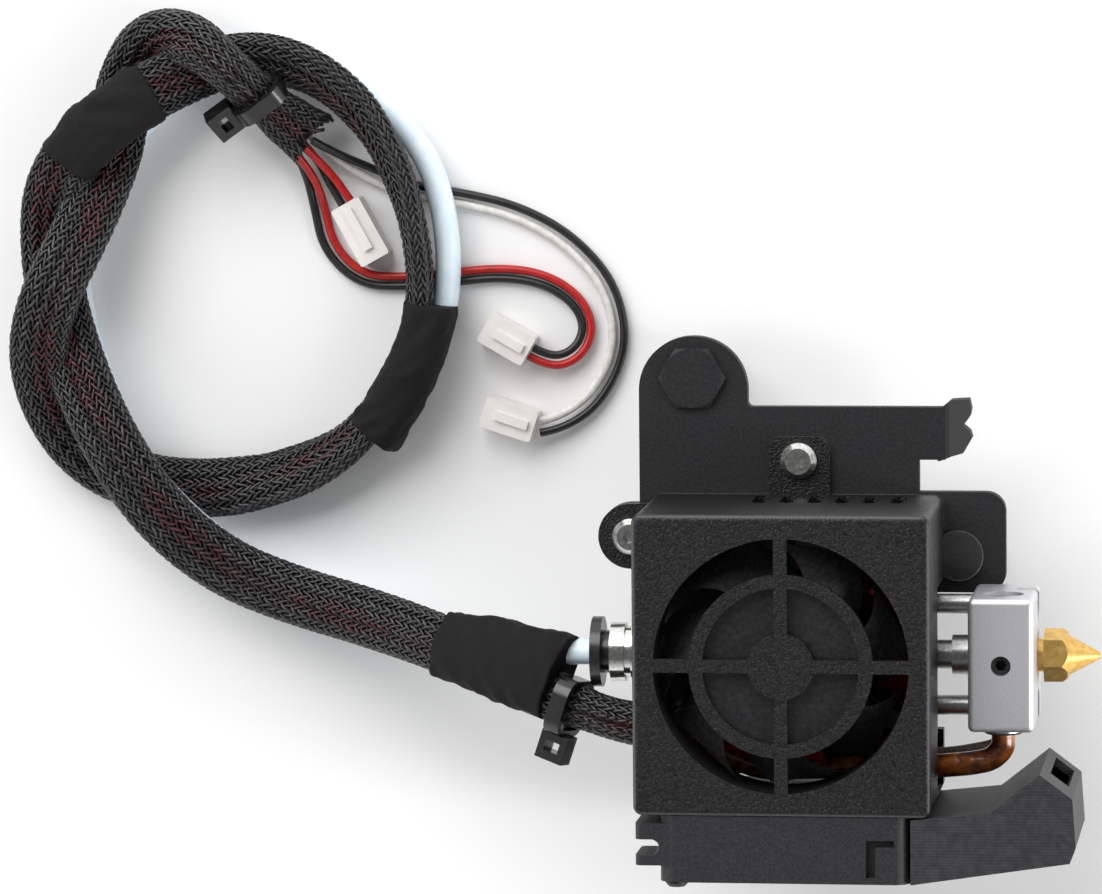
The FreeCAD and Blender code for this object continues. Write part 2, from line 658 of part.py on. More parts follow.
def coupler_body():
    """Push-in coupler: thread in the sink, hexagon, then a round body outside the shroud."""
    hex_start = sink_x0 - 6.0
    thread = rod(6.0, V(sink_x0, hotend_y, hotend_z), X, 6.0)
    grip = hexagon(coupler_hex, V(hex_start, hotend_y, hotend_z), X, 6.0, 30.0)
    body = rod(coupler_body_diameter, V(coupler_mouth(), hotend_y, hotend_z), X, hex_start - coupler_mouth())
    groove = ring(coupler_body_diameter + 2, coupler_body_diameter - 1.2,
                  V(coupler_mouth() + 2.2, hotend_y, hotend_z), X, 1.0)
    whole = join([thread, grip, body.cut(groove)])
    pocket = rod(6.6, V(coupler_mouth() - 1, hotend_y, hotend_z), X, 1 + 7.5)
    bore = rod(tube_diameter + 2 * slip_gap, V(coupler_mouth() - 1, hotend_y, hotend_z), X, 60)
    return whole.cut(pocket).cut(bore)


def coupler_collet():
    """Release collet: a flange to press and a sleeve that slides in the body."""
    gap = collet_travel + 0.3
    flange = rod(collet_diameter, V(coupler_mouth() - gap - 1.6, hotend_y, hotend_z), X, 1.6)
    sleeve = rod(6.6 - 2 * running_gap, V(coupler_mouth() - gap, hotend_y, hotend_z), X, gap + 5.0)
    bore = rod(tube_diameter + 2 * running_gap, V(coupler_mouth() - 10, hotend_y, hotend_z), X, 30)
    return join([flange, sleeve]).cut(bore)


def liner_tube():
    """Guide tube from the collet's mouth down to the nozzle."""
    start = coupler_mouth() - collet_travel - 0.3 - 1.6
    length = block_x0 + 5.2 - start
    return ring(tube_diameter, filament_bore, V(start, hotend_y, hotend_z), X, length)


# ---------------------------------------------------------------- part cooling blower
def blower_case():
    """Square blower body: round chamber, outlet towards the duct and two screw ears."""
    y0, y1 = blower_y0 + 1.0, blower_y1
    c = impeller_centre
    core = rounded_profile(blower_x0 + 3.6, blower_x1, blower_z0, blower_z1, 2.5, y0, y1)
    ear_a = rounded_profile(blower_x0, blower_x0 + 6.0, blower_z1 - 9.0, blower_z1, 1.0, y0 + 1.5, y1 - 1.2)
    ear_b = rounded_profile(blower_x0, blower_x0 + 6.0, blower_z0, blower_z0 + 9.0, 1.0, y0 + 1.5, y1 - 1.2)
    case = join([core, ear_a, ear_b])
    chamber = rod(impeller_diameter + 4.4, V(c.x, y0 - 1, c.z), Y, y1 - y0 + 1 - 1.2)
    outlet = box(c.x, blower_x1 + 1, y0 - 1, y1 - 1.2, duct_z0 + duct_wall, duct_z1 - duct_wall)
    case = case.cut(join([chamber, outlet]))
    spigot = rod(7.0, V(c.x, y1 - 4.5, c.z), Y, 4.0)
    case = join([case, spigot])
    notch = box(blower_x0 - 1, blower_x0 + 2.4, y0 + 3.0, y0 + 5.4, blower_z1 - 10, blower_z1 + 1)
    notch = notch.fuse(rod(2.4, V(blower_x0 + 2.4, y0 + 4.2, blower_z1 - 10), Z, 12))
    pocket = box(blower_x1 - 6.6, blower_x1 - 5.2, y0 - 1, y1 - 3.4, blower_z1 - 1.1, blower_z1 + 1)
    step = box(blower_x1 - 5.2, blower_x1 - 2.4, y1 - 4.4, y1 - 3.4, blower_z1 - 1.1, blower_z1 + 1)
    holes = [notch, pocket, step,
             rod(2.0 + 2 * running_gap, V(c.x, y1 - 4.6, c.z), Y, 3.9),
             rod(2.5, V(blower_x0 + 2.6, y0 - 5, blower_z0 + 4.5), Y, 30)]
    for x, z in blower_screw_places():
        holes.append(rod(2.0, V(x, y0 - 1, z), Y, 6))
    holes.append(rod(2.0, duct_screw_place(), -X, 6.0))
    return cut_all(case, holes)


def rounded_profile(x0, x1, z0, z1, r, y0, y1):
    """A plate in the XZ plane with rounded corners, from y0 to y1."""
    flat = rounded_box(x0, x1, -z1, -z0, y0, y1, r)
    flat.rotate(V(0, 0, 0), X, -90)
    return flat


def blower_screw_places():
    return [(blower_x0 + 6.0, blower_z0 + 2.4), (blower_x1 - 2.4, blower_z0 + 2.4),
            (blower_x0 + 6.0, blower_z1 - 2.4)]


def blower_cover():
    """Lid of the blower on the side away from the shroud, with the round air inlet."""
    c = impeller_centre
    lid = rounded_profile(blower_x0 + 3.6, blower_x1, blower_z0, blower_z1, 2.5, blower_y0, blower_y0 + 1.0)
    inlet = rod(impeller_diameter * 0.62, V(c.x, blower_y0 - 1, c.z), Y, 4)
    lid = lid.cut(inlet)
    for x, z in blower_screw_places():
        lid = lid.cut(rod(2.0 + 2 * slip_gap, V(x, blower_y0 - 1, z), Y, 4))
    return lid


def blower_screws():
    screws = []
    for x, z in blower_screw_places():
        screws.append(cap_screw(2.0, 3.4, 0.9, V(x, blower_y0, z), Y, 5.5))
    return Part.makeCompound(screws)


def blower_impeller():
    """Squirrel-cage wheel: hub, back disc, rim and a ring of small vanes."""
    c = impeller_centre
    back = blower_y1 - 1.2 - 0.6
    front = blower_y0 + 1.0 + 0.8
    disc = rod(impeller_diameter, V(c.x, back - 0.9, c.z), Y, 0.9)
    disc = disc.cut(rod(7.0 + 1.2, V(c.x, back - 2, c.z), Y, 4))
    hub = ring(14.0, 7.0 + 1.2, V(c.x, front + 0.6, c.z), Y, back - front - 0.6)
    cap = rod(14.0, V(c.x, front, c.z), Y, 1.6)
    shaft = rod(2.0, V(c.x, front + 1, c.z), Y, blower_y1 - 0.9 - front - 1)
    rim = ring(impeller_diameter, impeller_diameter - 2.0, V(c.x, front, c.z), Y, 0.8)
    parts = [disc, hub, cap, shaft, rim]
    for i in range(vane_count):
        vane = box(impeller_diameter / 2 - 4.4, impeller_diameter / 2 - 0.4, front, back - 0.5, -0.35, 0.35)
        vane.rotate(V(impeller_diameter / 2 - 2.2, 0, 0), Y, 24)
        vane.rotate(V(0, 0, 0), Y, i * 360.0 / vane_count)
        vane.translate(V(c.x, 0, c.z))
        parts.append(vane)
    return join(parts)


# ---------------------------------------------------------------- air duct
def duct_outline():
    """Corners of the duct in the XY plane, from the blower round to the slanted outlet."""
    end_x = fan_x + 43.5
    return [
        V(blower_x1, blower_y1 - 0.3, 0),
        V(blower_x1 + 11.8, blower_y1 + 0.9, 0),
        V(fan_x + 38.2, fan_y - 15.8, 0),
        V(end_x - 0.5, fan_y - 19.4, 0),
        V(end_x, fan_y - 26.7, 0),
        V(end_x - 0.9, fan_y - 29.0, 0),
        V(blower_x1, blower_y0, 0),
    ]


def air_duct():
    """Printed duct with a slot aimed at the nozzle's tip."""
    corners = duct_outline()
    shell = prism(corners, duct_z0, duct_z1)
    inner = Part.Face(Part.makePolygon(corners + corners[:1])).makeOffset2D(-duct_wall)
    inner = [V(v.X, v.Y, 0) for v in inner.OuterWire.OrderedVertexes]
    cavity = prism(inner, duct_z0 + duct_wall, duct_z1 - duct_wall)
    mouth = box(blower_x1 - 1, blower_x1 + duct_wall + 1, blower_y0 + duct_wall + 0.6,
                blower_y1 - duct_wall - 1.0, duct_z0 + duct_wall, duct_z1 - duct_wall)
    a, b = corners[2], corners[3]
    along = (b - a).normalize()
    inward = V(-along.y, along.x, 0)
    if inward.y > 0:
        inward = inward * -1
    p, q = a + along * 1.5 - inward * 2, b - along * 1.1 - inward * 2
    slot = prism([p, q, q + inward * 5, p + inward * 5], duct_z0 + 4.0, duct_z0 + 20.0)
    shell = cut_all(shell, [cavity, mouth, slot])
    lug = rounded_box(blower_y1 - 8.4, blower_y1 - 1.0, duct_z0 - 6.6, duct_z0 + 1.0, 0, 2.0, 1.2)
    lug = lug.transformGeometry(FreeCAD.Matrix(0, 0, 1, blower_x1, 1, 0, 0, 0, 0, 1, 0, 0, 0, 0, 0, 1))
    place = duct_screw_place()
    return join([shell, lug]).cut(rod(2.0 + 2 * slip_gap, place - X * 5, X, 10))


def duct_screw_place():
    return V(blower_x1 + 2.0, blower_y1 - 4.7, duct_z0 - 3.4)


def duct_screw():
    return cap_screw(2.0, 3.4, 0.9, duct_screw_place(), -X, 5.5)


# ---------------------------------------------------------------- wiring inside the object
def heater_leads():
    """Wrapped leads from the heater, held under the shroud as far as the harness."""
    x = (block_x0 + block_x1) / 2
    y = hotend_y - block_y / 2 - 1.0
    z = block_front - cartridge_from_front
    end = harness_route[0]
    points = [(x, y, z), (x, y - 2.2, z), (x - 1.8, y - 4.0, z - 0.1), (x - 5.0, y - 4.7, z - 0.4),
              (x - 10.0, y - 5.2, z - 0.9), (x - 17.0, y - 5.5, z - 1.6), (x - 28.0, y - 5.7, z - 2.2),
              (x - 37.0, y - 6.1, z - 2.4), (end[0] + 7.0, end[1] - 3.4, end[2] + 0.2),
              (end[0] + 3.4, end[1] - 0.7, end[2]), (end[0] + 0.2, end[1] - 0.1, end[2])]
    return tube(points, 3.6, "heater_leads")


def sensor_leads():
    """Thin pair from the temperature sensor to the harness, behind the heater's leads."""
    x = (block_x0 + block_x1) / 2
    y = hotend_y - block_y / 2 - 1.2
    z = block_front - block_z + 3.2
    end = harness_route[0]
    points = [(x, y, z), (x, y - 1.2, z), (x - 0.9, y - 2.3, z + 0.1), (x - 3.0, y - 3.0, z + 0.6),
              (x - 8.0, y - 3.6, z + 3.4), (x - 16.0, y - 3.8, z + 4.2), (x - 27.0, y - 3.8, z + 4.2),
              (x - 36.0, y - 3.9, z + 4.2), (end[0] + 7.0, end[1] - 2.6, end[2] - 3.0),
              (end[0] + 3.6, end[1] - 0.4, end[2] - 2.8), (end[0] + 0.1, end[1] + 0.4, end[2] - 2.6)]
    return tube(points, 1.4, "sensor_leads")


def fan_leads():
    """Pair from the fan's frame to the harness."""
    y = fan_y - fan_size / 2 + 1.0
    end = harness_route[0]
    points = [(fan_x + 5.0, y + 4.0, fan_back - 0.8), (fan_x - 2.0, y + 4.0, fan_back - 2.0),
              (fan_x - 9.0, y + 4.6, fan_back - 3.4), (end[0] + 0.1, end[1] + 1.2, end[2] + 2.3)]
    return tube(points, 1.6, "fan_leads")


# ---------------------------------------------------------------- free wiring harness
harness_route = [
    (-26.0, -19.0, 35.5), (-32.5, -18.8, 35.4), (-41.0, -16.7, 33.6), (-50.0, -13.4, 29.4),
    (-62.5, -9.4, 22.0), (-76.0, -5.8, 13.8), (-89.0, -2.6, 8.4), (-100.0, 1.8, 7.6),
    (-109.4, 10.0, 11.2), (-117.2, 21.2, 11.2), (-123.0, 32.6, 5.4), (-127.0, 43.4, 3.6),
    (-129.0, 53.0, 4.6), (-127.0, 62.0, 8.6), (-120.8, 69.2, 11.5), (-112.4, 76.2, 11.5),
    (-103.6, 81.0, 6.4), (-94.4, 83.4, 5.6), (-85.4, 82.0, 8.4), (-77.4, 76.0, 7.8),
    (-72.2, 66.0, 6.8), (-69.4, 54.0, 5.6), (-69.0, 42.0, 5.0), (-72.0, 30.6, 4.6),
    (-79.8, 20.8, 3.9), (-91.6, 15.2, 3.6), (-103.6, 13.4, 3.6), (-114.4, 14.4, 3.6),
    (-123.6, 18.4, 3.7), (-129.8, 25.8, 5.2), (-131.6, 34.4, 8.8), (-128.8, 42.8, 11.6),
    (-123.8, 50.4, 11.2), (-119.8, 58.8, 8.0), (-116.8, 67.0, 4.2), (-115.8, 74.0, 3.6),
    (-115.8, 80.4, 3.8), (-113.8, 86.2, 5.0), (-109.2, 89.2, 7.6), (-103.8, 88.6, 10.8),
    (-99.2, 84.4, 13.4), (-94.8, 78.2, 13.2), (-90.8, 72.6, 8.6), (-87.0, 67.8, 4.6),
]
guide_tube_route = [
    (-38.65, -7.9, 31.5), (-47.0, -7.6, 30.6), (-56.0, -5.2, 24.8), (-65.4, -2.6, 17.2),
    (-77.0, 1.0, 9.8), (-87.4, 4.6, 7.4), (-96.8, 9.6, 9.4), (-104.2, 17.8, 10.0),
    (-109.8, 27.6, 6.4), (-113.6, 37.4, 3.0), (-115.0, 47.4, 2.0), (-113.4, 57.4, 2.0),
    (-109.4, 66.4, 2.0), (-103.0, 73.4, 2.0), (-95.2, 78.2, 2.0), (-86.6, 80.8, 2.0),
    (-77.8, 79.4, 2.2), (-70.6, 73.6, 3.0), (-66.0, 65.0, 3.8), (-63.2, 55.2, 3.9),
    (-62.4, 45.0, 3.9), (-63.6, 35.0, 4.0), (-65.8, 28.4, 4.1), (-67.4, 25.0, 4.1),
]


def harness_cord():
    """The braided harness: once round the ring, under itself, round again to its frayed end."""
    return tube(harness_route, harness_diameter, "harness_cord")


def guide_tube():
    """Filament guide tube beside the harness, from the coupler to the tape on the ring."""
    return tube(guide_tube_route, guide_tube_diameter, "guide_tube")


lead_routes = {
    "lead_a_red": [(-86.7, 67.46, 5.26), (-84.4, 65.0, 3.8), (-81.8, 61.9, 3.2), (-80.0, 59.1, 2.9)],
    "lead_a_black": [(-87.3, 68.14, 3.94), (-85.2, 65.5, 2.0), (-83.4, 61.6, 1.7), (-81.4, 58.3, 2.0)],
    "lead_b_red": [(-87.99, 66.35, 5.26), (-85.9, 63.4, 3.2), (-84.4, 58.4, 0.9), (-83.2, 52.0, 0.7),
                   (-78.6, 47.2, 0.7), (-71.8, 46.9, 0.7), (-64.2, 47.6, 0.7), (-57.0, 48.4, 0.7),
                   (-50.0, 47.6, 0.7), (-44.6, 44.4, 0.7), (-42.2, 40.2, 0.8), (-42.8, 36.2, 1.2),
                   (-45.5, 33.5, 1.8), (-49.1, 33.0, 2.3), (-52.2, 34.7, 2.4)],
    "lead_b_black": [(-88.58, 67.03, 3.94), (-87.1, 63.4, 2.0), (-86.1, 58.0, 0.7), (-84.8, 51.2, 0.7),
                     (-79.2, 45.7, 0.7), (-71.9, 45.4, 0.7), (-64.2, 46.1, 0.7), (-57.2, 46.9, 0.7),
                     (-50.6, 46.1, 0.7), (-45.9, 43.5, 0.7), (-43.7, 40.1, 0.8), (-44.1, 37.1, 1.2),
                     (-46.0, 35.1, 1.8), (-48.8, 34.6, 2.3), (-51.4, 36.0, 2.4)],
    "lead_c_white": [(-86.01, 69.26, 3.94), (-83.0, 66.0, 2.0), (-77.6, 62.2, 0.7), (-70.6, 59.4, 0.7),
                     (-62.6, 58.4, 0.7), (-54.2, 56.4, 0.7), (-46.2, 52.0, 0.7), (-40.2, 45.0, 0.7),
                     (-38.6, 36.4, 0.7), (-42.0, 29.0, 0.9), (-47.2, 25.1, 1.8), (-50.6, 24.4, 2.3)],
    "lead_c_black": [(-85.42, 68.57, 5.26), (-82.2, 66.5, 3.4), (-77.0, 64.1, 1.0), (-70.0, 61.1, 0.7),
                     (-62.2, 60.1, 0.7), (-53.4, 58.0, 0.7), (-45.0, 53.4, 0.7), (-38.4, 45.8, 0.7),
                     (-36.7, 36.2, 0.7), (-40.6, 27.6, 0.9), (-46.6, 23.2, 1.8), (-50.5, 22.6, 2.3)],
}


def lead(name):
    """One thin wire out of the harness's end."""
    return tube(lead_routes[name], lead_diameter, name)


def placed(shape, centre, heading, height):
    """Turn a shape built along +X to a heading in degrees and set it at its place."""
    shape.rotate(V(0, 0, 0), Z, heading)
    shape.translate(V(centre[0], centre[1], height))
    return shape


def connector(centre, heading, length, width, height):
    """White crimp housing lying on the surface: body, latch rib and open front."""
    body = rounded_box(-length / 2, length / 2, -width / 2, width / 2, 0, height, 0.4)
    pocket = box(length / 2 - 3.0, length / 2 + 1, -width / 2 + 0.8, width / 2 - 0.8, 0.8, height - 0.8)
    rib = box(-length / 2 + 1.0, length / 2 - 2.0, -0.7, 0.7, height, height + 0.6)
    return placed(join([body.cut(pocket), rib]), centre, heading, 0)


def connectors():
    return {
        "connector_a": connector((-78.3, 54.2), -61.0, 10.0, 5.0, 4.4),
        "connector_b": connector((-55.4, 37.4), 150.0, 8.0, 5.0, 4.4),
        "connector_c": connector((-55.2, 24.9), 162.0, 8.4, 5.0, 4.4),
    }


def sleeve_along(start, end, width, height, offset):
    """A taped sleeve: a rounded bar from start to end, wide enough for what runs in it."""
    a, b = V(*start), V(*end)
    axis = b - a
    length = axis.Length
    bar = rounded_box(-width / 2, width / 2, -height / 2, height / 2, 0, length, min(width, height) * 0.4)
    axis.normalize()
    side = Z.cross(axis).normalize()
    up = axis.cross(side)
    turn = FreeCAD.Matrix(side.x, up.x, axis.x, a.x, side.y, up.y, axis.y, a.y,
                          side.z, up.z, axis.z, a.z, 0, 0, 0, 1)
    shift = FreeCAD.Matrix()
    shift.move(V(offset, 0, 0))
    return bar.transformGeometry(turn * shift)


def tie(point, heading, width, height, head_side):
    """Cable tie: a flat band round its bundle and a square head beside it."""
    a = V(*point)
    axis = V(*heading).normalize()
    side = Z.cross(axis).normalize()
    up = axis.cross(side)
    band = rounded_box(-width / 2 - 1.0, width / 2 + 1.0, -height / 2 - 1.0, height / 2 + 1.0, -1.3, 1.3, 2.6)
    band = band.cut(rounded_box(-width / 2, width / 2, -height / 2, height / 2, -3, 3, 1.8))
    near = head_side * (width / 2 + 0.8)
    far = head_side * (width / 2 + 5.2)
    head = box(min(near, far), max(near, far), -1.6, 1.6, -2.3, 2.3)
    slot = box(min(near, far) + 1.4, max(near, far) - 1.4, -3.0, 3.0, -1.2, 1.2)
    whole = join([band, head.cut(slot)])
    turn = FreeCAD.Matrix(side.x, up.x, axis.x, a.x, side.y, up.y, axis.y, a.y,
                          side.z, up.z, axis.z, a.z, 0, 0, 0, 1)
    return whole.transformGeometry(turn)


# ---------------------------------------------------------------- all sub-parts
def build():
    parts = {
        "carriage_plate": carriage_plate(),
        "wheel_bolts": wheel_bolts(),
        "eccentric_nut": eccentric_nut(),
        "eccentric_bolt": eccentric_bolt(),
        "fan_shroud": fan_shroud(),
        "shroud_screws": shroud_screws(),
        "fan_frame": fan_frame(),
        "fan_stator": fan_stator(),
        "fan_rotor": fan_rotor(),
        "fan_studs": fan_studs(),
        "fan_nuts": fan_nuts(),
        "heatsink": heatsink(),
        "sink_screws": sink_screws(),
        "heat_break": heat_break(),
        "block_bolts": block_bolts(),
        "heater_block": heater_block(),
        "heater_cartridge": heater_cartridge(),
        "grub_screw": grub_screw(),
        "thermistor": thermistor(),
        "nozzle": nozzle(),
        "coupler_body": coupler_body(),
        "coupler_collet": coupler_collet(),
        "liner_tube": liner_tube(),
        "blower_case": blower_case(),
        "blower_cover": blower_cover(),
        "blower_screws": blower_screws(),
        "blower_impeller": blower_impeller(),
        "air_duct": air_duct(),
        "duct_screw": duct_screw(),
        "heater_leads": heater_leads(),
        "sensor_leads": sensor_leads(),
        "fan_leads": fan_leads(),
        "harness_cord": harness_cord(),
        "guide_tube": guide_tube(),
    }
    for name in lead_routes:
        parts[name] = lead(name)
    parts.update(connectors())
    cords = [parts["harness_cord"], parts["guide_tube"]]
    wrapped = {
        "tape_near": sleeve_along((-45.6, -11.2, 30.0), (-64.8, -5.5, 19.2), 15.0, 11.2, 0.0),
        "tape_ring": sleeve_along((-66.4, 43.0, 4.9), (-69.7, 25.6, 4.7), 13.2, 9.2, 0.0),
        "tape_top": sleeve_along((-123.4, 66.8, 11.2), (-111.6, 76.6, 11.3), 8.8, 8.8, 0.0),
        "tie_near": tie((-42.3, -16.2, 33.0), (-8.8, 2.9, -3.2), harness_diameter, harness_diameter, 1),
        "tie_top": tie((-93.0, 75.8, 10.9), (4.0, -5.6, -4.2), harness_diameter, harness_diameter, -1),
    }
    for name, piece in wrapped.items():
        parts[name] = cut_all(piece, cords)
    return parts


os.makedirs("parts", exist_ok=True)
for name, shape in build().items():
    shape.exportStep("parts/" + name + ".step")
    size = shape.BoundBox
    print(name, "valid", shape.isValid(), "solids", len(shape.Solids), "volume", round(shape.Volume, 1),
          "z", round(size.ZMin, 2), round(size.ZMax, 2))
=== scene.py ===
import math
import random

import bmesh
import bpy
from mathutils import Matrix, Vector, noise


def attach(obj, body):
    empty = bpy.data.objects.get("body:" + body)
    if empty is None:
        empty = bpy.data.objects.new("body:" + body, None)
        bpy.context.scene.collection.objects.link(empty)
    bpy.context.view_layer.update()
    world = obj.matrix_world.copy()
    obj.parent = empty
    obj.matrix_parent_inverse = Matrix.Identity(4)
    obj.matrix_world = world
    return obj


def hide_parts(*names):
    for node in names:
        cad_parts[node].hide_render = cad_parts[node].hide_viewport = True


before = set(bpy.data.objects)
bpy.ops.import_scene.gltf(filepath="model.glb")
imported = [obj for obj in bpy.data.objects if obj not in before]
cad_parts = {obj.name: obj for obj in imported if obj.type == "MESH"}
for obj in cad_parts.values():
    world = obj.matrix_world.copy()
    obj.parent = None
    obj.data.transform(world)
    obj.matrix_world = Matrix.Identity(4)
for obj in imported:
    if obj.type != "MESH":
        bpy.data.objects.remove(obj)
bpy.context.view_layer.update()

random.seed(19)
scene = bpy.context.scene
scene.view_settings.view_transform = "Standard"
collection = scene.collection

# Camera over the fan, a little to the nozzle's side, looking down at the whole assembly.
# A long lens keeps the shroud's walls narrow.
camera_data = bpy.data.cameras.new("camera")
camera_data.sensor_width = 36.0
camera_data.lens = 205.1
camera_data.clip_end = 20.0
camera = bpy.data.objects.new("camera", camera_data)
camera.location = (0.0809, 0.11645, 0.97105)
camera.rotation_euler = (math.radians(-5.683), math.radians(7.572), math.radians(-0.526))
collection.objects.link(camera)
scene.camera = camera

# Studio: a pale floor under a dome that is bright at its rim and dim overhead, with one large
# softbox beyond the fan's upper side and a narrow one low on the nozzle's side.
world = bpy.data.worlds.new("studio")
world.use_nodes = True
sky = world.node_tree
sky.nodes["Background"].inputs["Color"].default_value = (1.0, 1.0, 1.0, 1.0)
direction = sky.nodes.new("ShaderNodeTexCoord")
upward = sky.nodes.new("ShaderNodeSeparateXYZ")
glow = sky.nodes.new("ShaderNodeMapRange")
glow.inputs["From Min"].default_value = 0.2
glow.inputs["From Max"].default_value = 0.9
glow.inputs["To Min"].default_value = 1.5
glow.inputs["To Max"].default_value = 0.14
sky.links.new(direction.outputs["Generated"], upward.inputs["Vector"])
sky.links.new(upward.outputs["Z"], glow.inputs["Value"])
sky.links.new(glow.outputs["Result"], sky.nodes["Background"].inputs["Strength"])
scene.world = world


def softbox(name, place, target, width, height, power):
    """A rectangular area light that faces its target."""
    light = bpy.data.lights.new(name, "AREA")
    light.shape = "RECTANGLE"
    light.size = width
    light.size_y = height
    light.energy = power
    box = bpy.data.objects.new(name, light)
    box.location = place
    box.rotation_euler = (Vector(target) - Vector(place)).to_track_quat("-Z", "Y").to_euler()
    collection.objects.link(box)


softbox("key_softbox", (-0.45, 0.65, 0.7), (-0.03, 0.02, 0.03), 1.0, 0.7, 9.5)
softbox("side_softbox", (0.6, -0.15, 0.35), (0.0, 0.0, 0.03), 0.12, 0.5, 2.0)

floor_mesh = bpy.data.meshes.new("studio_floor")
floor_bm = bmesh.new()
bmesh.ops.create_grid(floor_bm, x_segments=1, y_segments=1, size=3.0)
floor_bm.to_mesh(floor_mesh)
floor_bm.free()
floor = bpy.data.objects.new("studio_floor", floor_mesh)
floor_drop = 0.0002             # keeps the floor clear of what stands on it
floor.location = (0.0, 0.0, -floor_drop)
collection.objects.link(floor)
floor_paint = bpy.data.materials.new("studio_white")
floor_paint.use_nodes = True
floor_shader = floor_paint.node_tree.nodes["Principled BSDF"]
floor_shader.inputs["Base Color"].default_value = (0.9, 0.9, 0.9, 1.0)
floor_shader.inputs["Roughness"].default_value = 0.9
floor_mesh.materials.append(floor_paint)


# ---------------------------------------------------------------- carriage plate
# Laser-cut and bent steel plate, matt black powder coat. The coat has a fine orange peel
# and is a little greyer where it has been rubbed.
def grain_group():
    """Fine grain on object coordinates: a value about 0.5 and a normal."""
    group = bpy.data.node_groups.new("fine_grain", "ShaderNodeTree")
    group.interface.new_socket(name="Grains per mm", in_out="INPUT", socket_type="NodeSocketFloat")
    group.interface.new_socket(name="Height mm", in_out="INPUT", socket_type="NodeSocketFloat")
    group.interface.new_socket(name="Value", in_out="OUTPUT", socket_type="NodeSocketFloat")
    group.interface.new_socket(name="Normal", in_out="OUTPUT", socket_type="NodeSocketVector")
    nodes, links = group.nodes, group.links
    given = nodes.new("NodeGroupInput")
    result = nodes.new("NodeGroupOutput")
    place = nodes.new("ShaderNodeTexCoord")
    per_metre = nodes.new("ShaderNodeMath")
    per_metre.operation = "MULTIPLY"
    per_metre.inputs[1].default_value = 1000.0
    links.new(given.outputs["Grains per mm"], per_metre.inputs[0])
    cloud = nodes.new("ShaderNodeTexNoise")
    cloud.inputs["Detail"].default_value = 2.0
    links.new(place.outputs["Object"], cloud.inputs["Vector"])
    links.new(per_metre.outputs[0], cloud.inputs["Scale"])
    depth = nodes.new("ShaderNodeMath")
    depth.operation = "MULTIPLY"
    depth.inputs[1].default_value = 0.001
    links.new(given.outputs["Height mm"], depth.inputs[0])
    bump = nodes.new("ShaderNodeBump")
    links.new(cloud.outputs["Fac"], bump.inputs["Height"])
    links.new(depth.outputs[0], bump.inputs["Distance"])
    links.new(cloud.outputs["Fac"], result.inputs["Value"])
    links.new(bump.outputs["Normal"], result.inputs["Normal"])
    return group


fine_grain = grain_group()


def finish_material(name, dark, light, rough_low, rough_high, grains, height,
                    metallic=0.0, coat=0.0, gloss=0.5):
    """Principled finish whose colour and roughness follow the fine grain.

    grains is the grains per millimetre and height their height in millimetres.
    """
    finish = bpy.data.materials.new(name)
    finish.use_nodes = True
    nodes, links = finish.node_tree.nodes, finish.node_tree.links
    shader = nodes["Principled BSDF"]
    shader.inputs["Metallic"].default_value = metallic
    shader.inputs["Specular IOR Level"].default_value = gloss
    shader.inputs["Coat Weight"].default_value = coat
    shader.inputs["Coat Roughness"].default_value = 0.12
    grain = nodes.new("ShaderNodeGroup")
    grain.node_tree = fine_grain
    grain.inputs["Grains per mm"].default_value = grains
    grain.inputs["Height mm"].default_value = height
    tone = nodes.new("ShaderNodeMix")
    tone.data_type = "RGBA"
    tone.inputs["A"].default_value = (*dark, 1.0)
    tone.inputs["B"].default_value = (*light, 1.0)
    spread = nodes.new("ShaderNodeMapRange")
    spread.inputs["From Min"].default_value = 0.35
    spread.inputs["From Max"].default_value = 0.68
    links.new(grain.outputs["Value"], spread.inputs["Value"])
    links.new(spread.outputs["Result"], tone.inputs["Factor"])
    rough = nodes.new("ShaderNodeMapRange")
    rough.inputs["To Min"].default_value = rough_low
    rough.inputs["To Max"].default_value = rough_high
    links.new(grain.outputs["Value"], rough.inputs["Value"])
    links.new(tone.outputs["Result"], shader.inputs["Base Color"])
    links.new(rough.outputs["Result"], shader.inputs["Roughness"])
    links.new(grain.outputs["Normal"], shader.inputs["Normal"])
    return finish


def paint_nodes(finish, *names):
    """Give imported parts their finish."""
    for node in names:
        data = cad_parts[node].data
        data.materials.clear()
        data.materials.append(finish)


plate_coat = finish_material("matt_black_plate", (0.01, 0.01, 0.0115), (0.019, 0.0185, 0.021),
                             0.5, 0.72, 2.2, 0.02, gloss=0.3)
paint_nodes(plate_coat, "carriage_plate")

# ---------------------------------------------------------------- wheel bolts and eccentric
# Two wheel axles are bolts with the plate's black coat. The third runs through a zinc-plated
# hexagon nut that turns off centre in the plate, and has a flat black disc for its head.
zinc_steel = finish_material("zinc_steel", (0.42, 0.42, 0.43), (0.66, 0.66, 0.65), 0.22, 0.45,
                             3.0, 0.006, metallic=1.0)
black_steel = finish_material("black_oxide_steel", (0.01, 0.01, 0.011), (0.03, 0.03, 0.032),
                              0.38, 0.55, 3.0, 0.01, gloss=0.4)
disc_coat = finish_material("matt_black_disc", (0.02, 0.02, 0.022), (0.03, 0.03, 0.032),
                            0.55, 0.7, 1.6, 0.01, gloss=0.4)
paint_nodes(plate_coat, "wheel_bolts")
paint_nodes(zinc_steel, "eccentric_nut")
paint_nodes(disc_coat, "eccentric_bolt")

